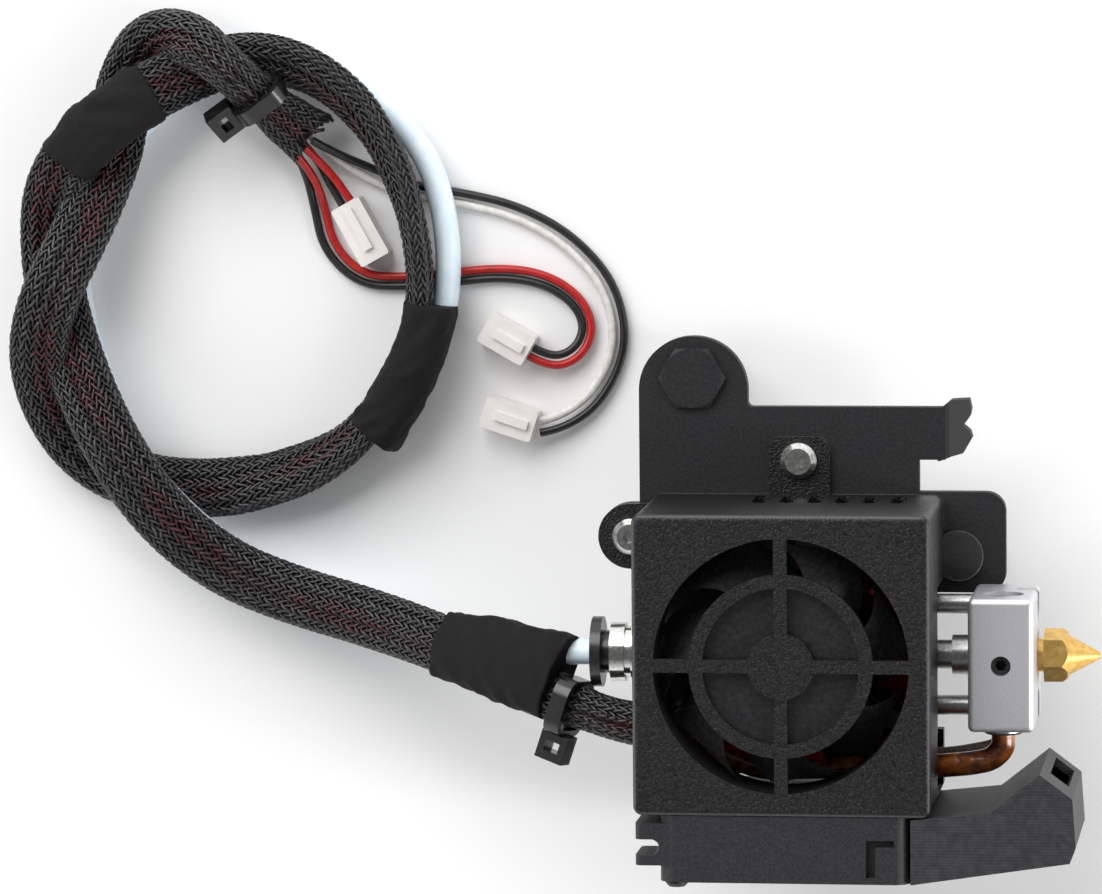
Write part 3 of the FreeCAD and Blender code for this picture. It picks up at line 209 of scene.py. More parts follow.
# ---------------------------------------------------------------- fan shroud
# Folded sheet with a coarse black powder coat: rounded grains with a dull sparkle. A highlight is
# painted along the folds of the box. Two bright button heads hold its tabs to the plate.
def box_edge_group():
    """Mask of a box's edges on object coordinates, from its middle, half sizes and the painted
    highlight's width.
    """
    group = bpy.data.node_groups.new("box_edges", "ShaderNodeTree")
    for name in ("Middle", "Half size"):
        group.interface.new_socket(name=name, in_out="INPUT", socket_type="NodeSocketVector")
    group.interface.new_socket(name="Width", in_out="INPUT", socket_type="NodeSocketFloat")
    group.interface.new_socket(name="Mask", in_out="OUTPUT", socket_type="NodeSocketFloat")
    nodes, links = group.nodes, group.links
    given = nodes.new("NodeGroupInput")
    result = nodes.new("NodeGroupOutput")
    place = nodes.new("ShaderNodeTexCoord")

    def vector_step(operation, a, b=None):
        step = nodes.new("ShaderNodeVectorMath")
        step.operation = operation
        links.new(a, step.inputs[0])
        if b is not None:
            links.new(b, step.inputs[1])
        return step.outputs["Vector"]

    def number_step(operation, a, b):
        step = nodes.new("ShaderNodeMath")
        step.operation = operation
        links.new(a, step.inputs[0])
        links.new(b, step.inputs[1])
        return step.outputs[0]

    inside = vector_step("SUBTRACT", vector_step("ABSOLUTE", vector_step(
        "SUBTRACT", place.outputs["Object"], given.outputs["Middle"])), given.outputs["Half size"])
    split = nodes.new("ShaderNodeSeparateXYZ")
    links.new(inside, split.inputs["Vector"])
    near = []
    for axis in ("X", "Y", "Z"):
        share = nodes.new("ShaderNodeMapRange")
        share.interpolation_type = "SMOOTHSTEP"
        inner = nodes.new("ShaderNodeMath")
        inner.operation = "MULTIPLY"
        inner.inputs[1].default_value = -1.0
        links.new(given.outputs["Width"], inner.inputs[0])
        links.new(inner.outputs[0], share.inputs["From Min"])
        share.inputs["From Max"].default_value = 0.0
        links.new(split.outputs[axis], share.inputs["Value"])
        near.append(share.outputs["Result"])
    pairs = [number_step("MULTIPLY", near[i], near[(i + 1) % 3]) for i in range(3)]
    edges = number_step("MAXIMUM", number_step("MAXIMUM", pairs[0], pairs[1]), pairs[2])
    links.new(edges, result.inputs["Mask"])
    return group


box_edges = box_edge_group()


def paint_edge_highlight(finish, middle, half_size, width, bright):
    """Paint a highlight into a finish's colour along the edges of a box given in millimetres."""
    nodes, links = finish.node_tree.nodes, finish.node_tree.links
    shader = nodes["Principled BSDF"]
    mask = nodes.new("ShaderNodeGroup")
    mask.node_tree = box_edges
    mask.inputs["Middle"].default_value = [v / 1000.0 for v in middle]
    mask.inputs["Half size"].default_value = [v / 1000.0 for v in half_size]
    mask.inputs["Width"].default_value = width / 1000.0
    # painted highlight: the finish's colour is mixed towards a bright colour along the box's edges
    edge_highlight_mix = nodes.new("ShaderNodeMix")
    edge_highlight_mix.data_type = "RGBA"
    edge_highlight_mix.inputs["B"].default_value = (*bright, 1.0)
    links.new(mask.outputs["Mask"], edge_highlight_mix.inputs["Factor"])
    links.new(shader.inputs["Base Color"].links[0].from_socket, edge_highlight_mix.inputs["A"])
    links.new(edge_highlight_mix.outputs["Result"], shader.inputs["Base Color"])


shroud_middle, shroud_half = (-7.85, -6.9, 40.0), (22.15, 22.5, 15.0)
powder_coat = finish_material("sparkling_powder_coat", (0.0018, 0.0018, 0.0021),
                              (0.0125, 0.0125, 0.0145), 0.3, 0.5, 2.7, 0.2, gloss=0.36)
# painted highlight along the shroud's folds
paint_edge_highlight(powder_coat, shroud_middle, shroud_half, 0.6, (0.2, 0.2, 0.21))
paint_nodes(powder_coat, "fan_shroud")
bright_screw = finish_material("bright_zinc_screw", (0.6, 0.6, 0.58), (0.86, 0.86, 0.82),
                               0.14, 0.3, 2.0, 0.004, metallic=1.0)
paint_nodes(bright_screw, "shroud_screws")

# ---------------------------------------------------------------- axial fan
# Frame moulded in matt black plastic, a smoother rotor with its blades, and a copper winding
# between them. Blackened studs with zinc-plated nuts hold it behind the shroud's front.
fan_plastic = finish_material("fan_frame_plastic", (0.006, 0.006, 0.007), (0.012, 0.012, 0.013),
                              0.4, 0.6, 1.5, 0.01, gloss=0.35)
rotor_plastic = finish_material("rotor_plastic", (0.014, 0.014, 0.0155), (0.024, 0.024, 0.026),
                                0.2, 0.32, 1.2, 0.004, gloss=0.6)
copper = finish_material("winding_copper", (0.25, 0.09, 0.03), (0.5, 0.2, 0.08),
                         0.3, 0.5, 4.0, 0.03, metallic=0.8)
paint_nodes(fan_plastic, "fan_frame")
paint_nodes(copper, "fan_stator")
paint_nodes(rotor_plastic, "fan_rotor")
paint_nodes(black_steel, "fan_studs")
paint_nodes(zinc_steel, "fan_nuts")

# ---------------------------------------------------------------- heat sink and hot end
# Red anodised sink, its red darkened as painted shade for where it sits behind the fan, a milled
# aluminium block with a highlight painted along its edges, and a turned brass nozzle. The heat
# break, the screws, the cartridge and the sensor's stud are plain steel.
# painted shade: the sink's red is darkened for where it sits behind the fan
sink_red_with_painted_shade = finish_material("red_anodised_painted_shade", (0.09, 0.004, 0.004), (0.15, 0.009, 0.008),
                              0.3, 0.45, 2.0, 0.006, metallic=0.9)
block_finish = finish_material("block_aluminium", (0.62, 0.615, 0.64), (0.76, 0.755, 0.78),
                               0.4, 0.5, 5.0, 0.006, metallic=0.8)
block_middle, block_half = (24.05, -7.9, 35.0), (4.9, 10.0, 10.0)
# painted highlight along the block's edges
paint_edge_highlight(block_finish, block_middle, block_half, 0.8, (0.9, 0.9, 0.92))
brass = finish_material("turned_brass", (0.7, 0.42, 0.11), (0.84, 0.56, 0.19),
                        0.3, 0.4, 1.0, 0.002, metallic=0.9)
paint_nodes(sink_red_with_painted_shade, "heatsink")
paint_nodes(zinc_steel, "sink_screws", "heat_break", "block_bolts", "heater_cartridge", "thermistor")
paint_nodes(block_finish, "heater_block")
paint_nodes(black_steel, "grub_screw")
paint_nodes(brass, "nozzle")

# ---------------------------------------------------------------- tube coupler
# Bright nickel-plated body seated in the sink, with a black plastic collet that is pressed in to
# let go of the tube. The liner tube inside it is the same bluish white plastic as the guide tube.
nickel = finish_material("bright_nickel", (0.62, 0.61, 0.58), (0.78, 0.77, 0.74),
                         0.1, 0.22, 2.0, 0.004, metallic=1.0)
tube_plastic = finish_material("guide_tube_plastic", (0.7, 0.83, 0.93), (0.8, 0.9, 0.97),
                               0.28, 0.4, 0.4, 0.01)
paint_nodes(nickel, "coupler_body")
paint_nodes(rotor_plastic, "coupler_collet")
paint_nodes(tube_plastic, "liner_tube")

# ---------------------------------------------------------------- part cooling blower
# Moulded black case and cover with a light eroded texture, held by three small screws.
blower_plastic = finish_material("blower_case_plastic", (0.015, 0.015, 0.017), (0.026, 0.0255, 0.0285),
                                 0.4, 0.6, 2.4, 0.03, gloss=0.4)
paint_nodes(blower_plastic, "blower_case", "blower_cover")
paint_nodes(black_steel, "blower_screws")
paint_nodes(rotor_plastic, "blower_impeller")

# ---------------------------------------------------------------- air duct
# Printed in dark grey plastic, with fine layer lines across its walls. It fits on the blower's
# outlet and is held by one zinc-plated screw.
duct_plastic = finish_material("printed_duct", (0.022, 0.022, 0.0245), (0.036, 0.0355, 0.039),
                               0.42, 0.58, 1.0, 0.02, gloss=0.4)
layer_height = 0.45


def print_layers(finish, height):
    """Rounded layer lines across Y, one every height in millimetres, over the finish's grain."""
    nodes, links = finish.node_tree.nodes, finish.node_tree.links
    shader = nodes["Principled BSDF"]
    place = nodes.new("ShaderNodeTexCoord")
    split = nodes.new("ShaderNodeSeparateXYZ")
    links.new(place.outputs["Object"], split.inputs["Vector"])
    turns = nodes.new("ShaderNodeMath")
    turns.operation = "MULTIPLY"
    turns.inputs[1].default_value = 2 * math.pi * 1000.0 / height
    links.new(split.outputs["Y"], turns.inputs[0])
    wave = nodes.new("ShaderNodeMath")
    wave.operation = "SINE"
    links.new(turns.outputs[0], wave.inputs[0])
    ridges = nodes.new("ShaderNodeBump")
    ridges.inputs["Distance"].default_value = 0.00003
    ridges.inputs["Strength"].default_value = 0.45
    links.new(wave.outputs[0], ridges.inputs["Height"])
    links.new(shader.inputs["Normal"].links[0].from_socket, ridges.inputs["Normal"])
    links.new(ridges.outputs["Normal"], shader.inputs["Normal"])


print_layers(duct_plastic, layer_height)
paint_nodes(duct_plastic, "air_duct")
paint_nodes(zinc_steel, "duct_screw")

# ---------------------------------------------------------------- wires held in the object
# The heater's wires are wrapped in glossy amber film, the sensor's run in a varnished glass
# sleeve, and the fan's are red silicone. They leave the block and the fan inside the shroud.
amber_film = finish_material("amber_film", (0.09, 0.015, 0.003), (0.6, 0.17, 0.025),
                             0.14, 0.3, 0.45, 0.35, coat=0.8)
glass_sleeve = finish_material("varnished_glass_sleeve", (0.07, 0.05, 0.035), (0.14, 0.11, 0.08),
                               0.4, 0.6, 2.0, 0.03)
red_silicone = finish_material("red_silicone", (0.36, 0.006, 0.006), (0.48, 0.012, 0.01),
                               0.3, 0.45, 1.0, 0.01)
paint_nodes(amber_film, "heater_leads")
paint_nodes(glass_sleeve, "sensor_leads")
paint_nodes(red_silicone, "fan_leads")


# ---------------------------------------------------------------- wiring harness
# A flat woven sleeve round its wires. Black monofilament ribbons cross two over, two under, round
# a dark core, and show dull red where a red wire lies beneath. It lies in a ring on the floor.
def spline_curve(name, points, sections=10):
    """A NURBS curve in metres, guided by points in millimetres."""
    data = bpy.data.curves.new(name, "CURVE")
    data.dimensions = "3D"
    data.resolution_u = sections
    spline = data.splines.new("NURBS")
    spline.points.add(len(points) - 1)
    for knot, (x, y, z) in zip(spline.points, points):
        knot.co = (x / 1000.0, y / 1000.0, z / 1000.0, 1.0)
    spline.order_u = 3
    spline.use_endpoint_u = True
    obj = bpy.data.objects.new(name, data)
    collection.objects.link(obj)
    return obj


def points_along(obj, step):
    """Points of a curve with no bevel, evenly spaced."""
    line = bpy.data.meshes.new_from_object(obj.evaluated_get(bpy.context.evaluated_depsgraph_get()))
    raw = [v.co.copy() for v in line.vertices]
    bpy.data.meshes.remove(line)
    lengths = [0.0]
    for a, b in zip(raw, raw[1:]):
        lengths.append(lengths[-1] + (b - a).length)
    count = max(2, round(lengths[-1] / step))
    points = []
    j = 0
    for i in range(count + 1):
        s = lengths[-1] * i / count
        while j < len(raw) - 2 and lengths[j + 1] < s:
            j += 1
        share = (s - lengths[j]) / max(1e-9, lengths[j + 1] - lengths[j])
        points.append(raw[j].lerp(raw[j + 1], share))
    return points, lengths[-1]


harness_route = [
    (-26.0, -19.0, 35.5), (-32.5, -18.6, 35.4), (-41.4, -16.0, 33.4), (-50.0, -12.5, 29.2),
    (-62.5, -8.4, 22.0), (-76.0, -5.2, 13.8), (-89.0, -2.4, 8.8), (-100.0, 1.8, 8.2),
    (-109.4, 10.0, 11.2), (-117.0, 21.2, 11.4), (-122.8, 32.6, 8.2), (-126.4, 43.4, 6.3),
    (-127.4, 53.0, 6.3), (-126.2, 61.6, 8.9), (-120.8, 69.0, 11.7), (-112.4, 75.4, 11.5),
    (-103.6, 79.8, 7.8), (-94.4, 82.0, 7.4), (-85.6, 80.2, 8.2), (-78.2, 74.8, 7.8),
    (-72.6, 66.0, 6.8), (-69.0, 54.0, 5.9), (-68.4, 42.0, 5.8), (-72.8, 30.8, 5.7),
    (-79.6, 20.8, 4.9), (-91.6, 15.2, 3.9), (-103.6, 13.4, 2.7), (-114.4, 14.4, 2.1),
    (-122.6, 18.4, 2.6), (-127.6, 25.8, 5.2), (-129.2, 34.4, 9.2), (-127.2, 42.8, 12.0),
    (-123.4, 50.4, 11.7), (-119.6, 58.8, 9.0), (-116.8, 67.0, 6.3), (-115.6, 73.6, 5.9),
    (-115.0, 78.6, 5.4), (-112.8, 82.8, 6.2), (-108.4, 85.4, 8.4), (-103.4, 84.8, 11.8),
    (-98.8, 81.6, 13.4), (-94.4, 77.2, 12.4), (-90.2, 72.8, 8.5), (-84.6, 68.2, 4.8),
]
harness_curve = spline_curve("harness_path", harness_route)
station_step = 0.0006
harness_line, harness_length = points_along(harness_curve, station_step)
bpy.data.objects.remove(harness_curve)


def eased(keys, s):
    """Value at s between keyed stations, smoothly."""
    if s <= keys[0][0]:
        return keys[0][1]
    for (a, va), (b, vb) in zip(keys, keys[1:]):
        if s <= b:
            t = (s - a) / (b - a)
            t = t * t * (3 - 2 * t)
            return va + (vb - va) * t
    return keys[-1][1]


# Turn of the flat sleeve about its own line, in degrees from lying flat, by millimetres along it.
sleeve_turn = [(0, 10), (60, 0), (120, 5), (160, 0), (176, 10), (190, 36), (209, 50), (220, 64),
               (234, 80), (254, 76), (268, 56), (281, 38), (292, 12), (302, 0), (362, 4),
               (374, 30), (382, 46), (390, 12), (396, 0), (430, 0)]
# Width and thickness of the sleeve in millimetres, by millimetres along it.
sleeve_width = [(0, 6.4), (12, 5.8), (24, 8.2), (60, 8.8), (120, 9.0), (234, 8.8), (245, 7.9),
                (263, 7.9), (273, 8.8), (378, 8.8), (394, 8.0), (405, 6.4), (411, 6.2), (417, 7.8),
                (424, 9.6)]
sleeve_thickness = [(0, 4.6), (12, 4.8), (24, 3.9), (60, 3.6), (385, 3.5), (400, 4.2), (409, 4.6),
                    (416, 3.8), (425, 3.0)]


def line_frames(line, turn_keys):
    """Place, directions of width, thickness and travel, and metres along, at each point of a line."""
    reach = 3
    frames = []
    s = 0.0
    for i, p in enumerate(line):
        a = line[max(0, i - reach)]
        b = line[min(len(line) - 1, i + reach)]
        along = (b - a).normalized()
        side = Vector((0, 0, 1)).cross(along).normalized()
        up = along.cross(side)
        turn = math.radians(eased(turn_keys, s * 1000.0))
        wide = side * math.cos(turn) + up * math.sin(turn)
        deep = up * math.cos(turn) - side * math.sin(turn)
        frames.append((p, wide, deep, along, s))
        if i < len(line) - 1:
            s += (line[i + 1] - p).length
    return frames


harness_frames = line_frames(harness_line, sleeve_turn)


def squared_oval(angle, power):
    """A place on a circle of radius 1 that is squared off as power falls below 1."""
    c, d = math.cos(angle), math.sin(angle)
    return math.copysign(abs(c) ** power, c), math.copysign(abs(d) ** power, d)


def oval_table(width, thickness, count=240, fine_steps=1440, power=0.8):
    """Places round a flattened oval, evenly spaced along its outline."""
    raw = []
    for i in range(fine_steps + 1):
        x, y = squared_oval(2 * math.pi * i / fine_steps, power)
        raw.append((x * width / 2, y * thickness / 2))
    lengths = [0.0]
    for (x0, y0), (x1, y1) in zip(raw, raw[1:]):
        lengths.append(lengths[-1] + math.hypot(x1 - x0, y1 - y0))
    table, j = [], 0
    for i in range(count):
        s = lengths[-1] * i / count
        while lengths[j + 1] < s:
            j += 1
        t = (s - lengths[j]) / max(1e-9, lengths[j + 1] - lengths[j])
        (x0, y0), (x1, y1) = raw[j], raw[j + 1]
        table.append((x0 + (x1 - x0) * t, y0 + (y1 - y0) * t))
    return table


outline_flatness = 0.54
sleeve_outline = oval_table(1.0, outline_flatness)
wires_across = 4.0
wire_ridge = 0.13               # share of the thickness by which the wires swell the sleeve


def sleeve_place(frames, index, share, lift):
    """A place on the sleeve and the outward direction there. lift is in metres."""
    p, wide, deep, _, s = frames[index]
    w = eased(sleeve_width, s * 1000.0) / 1000.0
    h = eased(sleeve_thickness, s * 1000.0) / 1000.0
    count = len(sleeve_outline)
    x, y = sleeve_outline[int(round(share * count)) % count]
    out = (wide * x * h / w + deep * (y / outline_flatness)).normalized()
    ridge = 1.0 + wire_ridge * math.cos(x * 2 * math.pi * wires_across)
    place = p + wide * (x * w) + deep * (y / outline_flatness * h * ridge)
    return place + out * lift, out


def loft_rings(bm, rings):
    """Skin a run of rings of equal length, and close both ends."""
    loops = [[bm.verts.new(p) for p in r] for r in rings]
    count = len(loops[0])
    for a, b in zip(loops, loops[1:]):
        for k in range(count):
            face = bm.faces.new((a[k], a[(k + 1) % count], b[(k + 1) % count], b[k]))
            face.smooth = True
    bm.faces.new(list(reversed(loops[0])))
    bm.faces.new(loops[-1])


def mesh_piece(name, bm, finish):
    """Make an object at the origin from a bmesh."""
    bmesh.ops.recalc_face_normals(bm, faces=bm.faces)
    data = bpy.data.meshes.new(name)
    bm.to_mesh(data)
    bm.free()
    data.materials.append(finish)
    obj = bpy.data.objects.new(name, data)
    collection.objects.link(obj)
    return obj


core_sides = 28
core_depth = 0.00034            # of the core's surface under the middle of the weave
core_bm = bmesh.new()
loft_rings(core_bm, [[sleeve_place(harness_frames, i, k / core_sides, -core_depth)[0]
                      for k in range(core_sides)]
                     for i in range(0, len(harness_frames) - 3, 2)])
core_finish = finish_material("wires_in_the_sleeve", (0.003, 0.003, 0.003), (0.008, 0.007, 0.007),
                              0.6, 0.8, 1.5, 0.03, gloss=0.2)
harness_core = mesh_piece("harness_core", core_bm, core_finish)

# The weave: strands each way, and millimetres along the sleeve for one turn of a strand.
strands = 28
pitch = 42.0
crossing = pitch / (2 * strands)
ribbon_half = 0.0003
ribbon_rise = 0.00016
weave_lift = 0.00013
fray = 2.2                      # millimetres by which the sides of the cut end stand out past its middle
ragged_step = 0.4
# Where the red wire lies round the sleeve, as a share of a turn, by millimetres along it.
red_wire = [(0, 0.2), (60, 0.22), (100, 0.3), (150, 0.2), (200, 0.28), (300, 0.22), (340, 0.3),
            (440, 0.24)]
red_shown = 0.75                # share of the crossings over the red wire that let it show


def weave(bm, frames, first, last):
    """Both sets of ribbons between two crossings.

    painted_crest_highlight holds a painted highlight where a ribbon lies on top, and tint where a red
    wire shows through.
    """
    # painted highlight: a vertex value that lightens each ribbon where it lies on top
    painted_crest_highlight = bm.verts.layers.float.new("painted_crest_highlight")
    tint = bm.verts.layers.float.new("tint")
    total = frames[-1][4] * 1000.0
    for direction in (1, -1):
        for number in range(strands):
            previous = None
            for m in range(first, last + 1):
                s = m * crossing
                share = (number / strands + direction * s / pitch) % 1.0
                place = int(share * len(sleeve_outline)) % len(sleeve_outline)
                off_middle = abs(sleeve_outline[place][0])
                if s > total - fray * (1.0 - 2.0 * off_middle) - ragged_step * ((number * 7) % 5):
                    break
                index = min(len(frames) - 1, int(round(s / total * (len(frames) - 1))))
                over = ((2 * number + direction * m) % 4 < 2) == (direction == 1)
                lift = weave_lift if over else -weave_lift
                centre, out = sleeve_place(frames, index, share, lift)
                ahead = min(len(frames) - 1, index + 1)
                nearby = (share + direction * station_step / pitch * 1000.0) % 1.0
                onward = sleeve_place(frames, ahead, nearby, lift)[0] - centre
                if onward.length < 1e-7:
                    onward = frames[index][3]
                across = onward.cross(out).normalized()
                ring = [bm.verts.new(centre - across * ribbon_half),
                        bm.verts.new(centre + out * ribbon_rise),
                        bm.verts.new(centre + across * ribbon_half)]
                band = max(0.0, math.cos(2 * math.pi * (share - eased(red_wire, s))) - 0.8)
                swell = 0.75 + 0.6 * math.sin(s * 0.21 + 1.3)
                shown = min(1.0, swell * band * 7.0)
                shown *= 1.0 if random.random() < red_shown else 0.0
                # painted glint: a random painted highlight where a ribbon lies on top, none where it
                # dives under
                painted_glint = random.uniform(0.3, 1.0) if over else 0.0
                for k, v in enumerate(ring):
                    v[painted_crest_highlight] = painted_glint * (1.0 if k == 1 else 0.2)
                    v[tint] = shown
                if previous:
                    for k in range(3):
                        face = bm.faces.new((previous[k], previous[(k + 1) % 3],
                                             ring[(k + 1) % 3], ring[k]))
                        face.smooth = k < 2
                else:
                    bm.faces.new(ring)
                previous = ring
            if previous:
                bm.faces.new(list(reversed(previous)))


def filament_material():
    """Black filament with a painted grey highlight where a ribbon lies on top, dull red over a red wire.
    """
    finish = finish_material("black_monofilament", (0.2, 0.2, 0.2), (1.0, 1.0, 1.0),
                             0.3, 0.5, 1.3, 0.0, gloss=0.55)
    nodes, links = finish.node_tree.nodes, finish.node_tree.links
    shader = nodes["Principled BSDF"]
    speckle = shader.inputs["Base Color"].links[0].from_socket
    painted_highlight_share = nodes.new("ShaderNodeAttribute")
    painted_highlight_share.attribute_name = "painted_crest_highlight"
    red_share = nodes.new("ShaderNodeAttribute")
    red_share.attribute_name = "tint"
    # painted highlight colour: grey, dull red where a red wire shows through
    top = nodes.new("ShaderNodeMix")
    top.data_type = "RGBA"
    top.inputs["A"].default_value = (0.1, 0.097, 0.104, 1.0)
    top.inputs["B"].default_value = (0.16, 0.016, 0.022, 1.0)
    links.new(red_share.outputs["Fac"], top.inputs["Factor"])
    broken = nodes.new("ShaderNodeMix")
    broken.data_type = "RGBA"
    broken.blend_type = "MULTIPLY"
    broken.inputs["Factor"].default_value = 1.0
    links.new(top.outputs["Result"], broken.inputs["A"])
    links.new(speckle, broken.inputs["B"])
    # painted highlight: the black ribbons are lightened by the painted highlight value
    highlight_over_black = nodes.new("ShaderNodeMix")
    highlight_over_black.data_type = "RGBA"
    highlight_over_black.inputs["A"].default_value = (0.003, 0.003, 0.0035, 1.0)
    links.new(painted_highlight_share.outputs["Fac"], highlight_over_black.inputs["Factor"])
    links.new(broken.outputs["Result"], highlight_over_black.inputs["B"])
    links.new(highlight_over_black.outputs["Result"], shader.inputs["Base Color"])
    return finish


strand_finish = filament_material()
crossings = int(harness_frames[-1][4] * 1000.0 / crossing)
parts_of_braid = 4
for part in range(parts_of_braid):
    braid_bm = bmesh.new()
    weave(braid_bm, harness_frames, crossings * part // parts_of_braid,
          crossings * (part + 1) // parts_of_braid)
    braid = mesh_piece("harness_braid_%d" % (part + 1), braid_bm, strand_finish)
    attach(braid, "carriage")
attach(harness_core, "carriage")
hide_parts("harness_cord")

# ---------------------------------------------------------------- tape and ties
# Matt black cloth tape, wound round the sleeve and creased, with two smooth nylon cable ties. The
# tape by the shroud and the tape on the ring hold the guide tube to the sleeve.
tape_cloth = finish_material("cloth_tape", (0.005, 0.0049, 0.0052), (0.0115, 0.0112, 0.0119),
                             0.75, 0.95, 5.0, 0.05, gloss=0.25)
flat_frames = line_frames(harness_line, [(0, 0)])
tape_sides = 64
large_crease = 0.0005
small_crease = 0.0002


def wrapped_tape(name, node, shape):
    """Cloth tape wound round the sleeve.

    shape gives keys of millimetres along, half width, half height and sideways shift.
    """
    first, last = shape[0][0], shape[-1][0]
    keys = [[(row[0], row[k]) for row in shape] for k in (1, 2, 3)]
    rings = []
    for p, wide, deep, _, s in flat_frames:
        mm = s * 1000.0
        if mm < first or mm > last:
            continue
        half_width, half_height, shift = [eased(key, mm) / 1000.0 for key in keys]
        ring = []
        for k in range(tape_sides):
            x, y = squared_oval(2 * math.pi * k / tape_sides, 0.75)
            crease = noise.noise(Vector((x * 2.2 + mm * 0.35, y * 1.4, mm * 0.11))) * large_crease
            crease += noise.noise(Vector((x * 5.0, y * 4.0, mm * 0.6))) * small_crease
            ring.append(p + wide * (x * (half_width + crease) + shift)
                        + deep * (y * (half_height + crease)))
        rings.append(ring)
    tape_bm = bmesh.new()
    loft_rings(tape_bm, rings)
    tape = mesh_piece(name, tape_bm, tape_cloth)
    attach(tape, "carriage")
    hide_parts(node)


wrapped_tape("tape_by_the_shroud", "tape_near",
             [(19.4, 6.7, 3.9, -2.7), (22, 6.7, 3.9, -2.5), (30, 6.2, 3.8, -1.5),
              (41.5, 5.2, 3.3, -0.2)])
wrapped_tape("tape_on_the_ring", "tape_ring",
             [(242.6, 4.1, 5.1, 1.9), (254, 4.2, 5.1, 1.8), (265, 4.4, 4.7, 1.7)])
wrapped_tape("tape_at_the_top", "tape_top",
             [(157, 4.9, 2.9, 0.0), (160, 5.0, 3.0, 0.0), (172, 5.0, 3.0, 0.0),
              (175, 4.9, 2.9, 0.0)])
tie_nylon = finish_material("tie_nylon", (0.004, 0.004, 0.0045), (0.009, 0.009, 0.01),
                            0.16, 0.28, 1.0, 0.01, gloss=0.6)
paint_nodes(tie_nylon, "tie_near", "tie_top")

# ---------------------------------------------------------------- guide tube
# Smooth bluish white plastic tube, 4 mm across, pushed into the coupler. It runs beside the sleeve
# and under it, and ends in the tape on the ring.
tube_diameter = 4.0
guide_tube_route = [
    (-38.65, -7.9, 31.5), (-47.0, -8.3, 30.0), (-56.4, -9.8, 21.6), (-66.0, -7.8, 14.4),
    (-77.6, -4.2, 7.8), (-88.4, -1.4, 3.6), (-98.4, 3.2, 3.5), (-106.2, 9.6, 5.0),
    (-112.4, 16.6, 6.0), (-118.0, 26.0, 4.0), (-122.4, 37.4, 2.2), (-124.2, 48.4, 2.1),
    (-121.8, 59.8, 2.1), (-115.6, 68.6, 2.1), (-107.4, 76.2, 2.1), (-98.4, 80.8, 2.1),
    (-88.8, 81.0, 2.2), (-80.4, 78.2, 2.2), (-72.9, 72.6, 3.0), (-67.2, 65.4, 3.5),
    (-64.7, 56.2, 3.8), (-64.3, 46.6, 3.9), (-66.0, 37.6, 4.0), (-69.0, 30.6, 4.1),
    (-71.2, 26.6, 4.1),
]


def round_line(name, points, diameter, finish, slot, node):
    """A round tube or wire along a NURBS curve, in place of its packed tube, and its length."""
    obj = spline_curve(name, points, 8)
    length = points_along(obj, 0.001)[1]
    obj.data.bevel_depth = diameter / 2000.0
    obj.data.bevel_resolution = 3
    obj.data.use_fill_caps = True
    obj.data.materials.append(finish)
    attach(obj, "carriage")
    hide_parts(node)
    return obj, length


def round_cord(name, points, diameter, finish, slot, node, far_end, with_pieces=(),
               stiffness="medium"):
    """A round line, made as round_line makes it."""
    obj, length = round_line(name, points, diameter, finish, slot, node)


round_cord("guide_tube_line", guide_tube_route, tube_diameter, tube_plastic, "tube_white",
           "guide_tube", "bare")

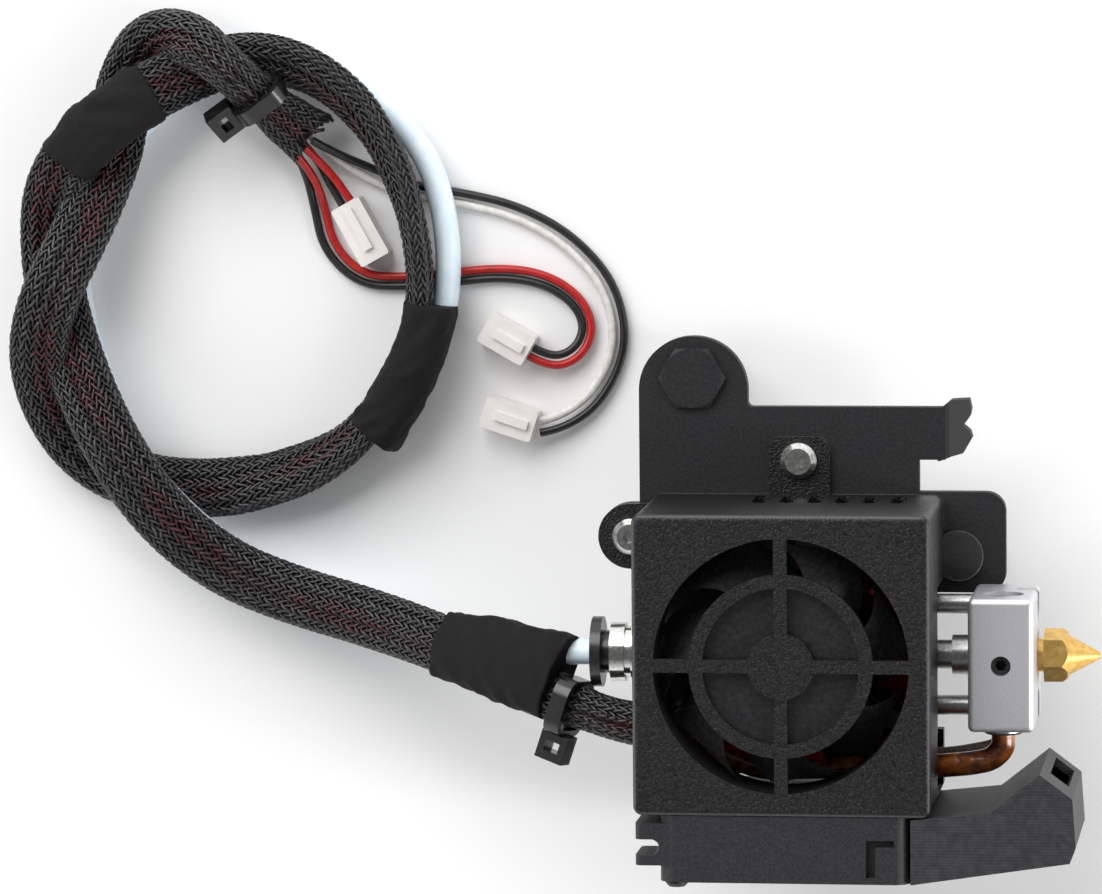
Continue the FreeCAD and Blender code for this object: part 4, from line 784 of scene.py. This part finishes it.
# ---------------------------------------------------------------- leads and connectors
# Silicone wires in red, black and white come out of the sleeve's frayed end and are crimped, two by
# two, into housings of natural nylon. The first pair is short and is made with round_line, the
# others with round_cord.
black_silicone = finish_material("black_silicone", (0.008, 0.008, 0.008), (0.016, 0.016, 0.016),
                                 0.3, 0.45, 1.0, 0.01)
white_silicone = finish_material("white_silicone", (0.62, 0.6, 0.56), (0.75, 0.73, 0.7),
                                 0.35, 0.5, 1.0, 0.01)
nylon = finish_material("natural_nylon", (0.77, 0.735, 0.7), (0.81, 0.78, 0.745),
                        0.35, 0.5, 0.5, 0.01)
paint_nodes(nylon, "connector_a", "connector_b", "connector_c")
lead_diameter = 1.3
lead_routes = {
    "lead_a_red": [(-86.7, 67.46, 5.26), (-84.4, 65.0, 3.8), (-81.8, 61.9, 3.2), (-80.0, 59.1, 2.9)],
    "lead_a_black": [(-87.3, 68.14, 3.94), (-85.2, 65.5, 2.0), (-83.4, 61.6, 1.7), (-81.4, 58.3, 2.0)],
    "lead_b_red": [(-87.99, 66.35, 5.26), (-85.9, 63.4, 3.2), (-84.4, 58.4, 0.9), (-83.2, 52.0, 0.7),
                   (-78.6, 47.2, 0.7), (-71.8, 46.9, 0.7), (-64.2, 47.6, 0.7), (-57.0, 48.4, 0.7),
                   (-50.0, 47.6, 0.7), (-44.6, 44.4, 0.7), (-42.2, 40.2, 0.8), (-42.8, 36.2, 1.2),
                   (-45.5, 33.5, 1.8), (-49.1, 33.0, 2.3), (-52.2, 34.7, 2.4)],
    "lead_b_black": [(-88.58, 67.03, 3.94), (-87.1, 63.4, 2.0), (-86.1, 58.0, 0.7), (-84.8, 51.2, 0.7),
                     (-79.2, 45.7, 0.7), (-71.9, 45.4, 0.7), (-64.2, 46.1, 0.7), (-57.2, 46.9, 0.7),
                     (-50.6, 46.1, 0.7), (-45.9, 43.5, 0.7), (-43.7, 40.1, 0.8), (-44.1, 37.1, 1.2),
                     (-46.0, 35.1, 1.8), (-48.8, 34.6, 2.3), (-51.4, 36.0, 2.4)],
    "lead_c_white": [(-86.01, 69.26, 3.94), (-83.0, 66.0, 2.0), (-77.6, 62.2, 0.7), (-70.6, 59.4, 0.7),
                     (-62.6, 58.4, 0.7), (-54.2, 56.4, 0.7), (-46.2, 52.0, 0.7), (-40.2, 45.0, 0.7),
                     (-38.6, 36.4, 0.7), (-42.0, 29.0, 0.9), (-47.2, 25.1, 1.8), (-50.6, 24.4, 2.3)],
    "lead_c_black": [(-85.42, 68.57, 5.26), (-82.2, 66.5, 3.4), (-77.0, 64.1, 1.0), (-70.0, 61.1, 0.7),
                     (-62.2, 60.1, 0.7), (-53.4, 58.0, 0.7), (-45.0, 53.4, 0.7), (-38.4, 45.8, 0.7),
                     (-36.7, 36.2, 0.7), (-40.6, 27.6, 0.9), (-46.6, 23.2, 1.8), (-50.5, 22.6, 2.3)],
}
lead_finishes = {"red": red_silicone, "black": black_silicone, "white": white_silicone}
for name, points in lead_routes.items():
    _, pair, colour = name.split("_")
    wire = (name + "_wire", points, lead_diameter, lead_finishes[colour], "wire_" + colour, name)
    if pair == "a":
        round_line(*wire)
    else:
        round_cord(*wire, "connector", [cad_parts["connector_" + pair]], stiffness="limp")
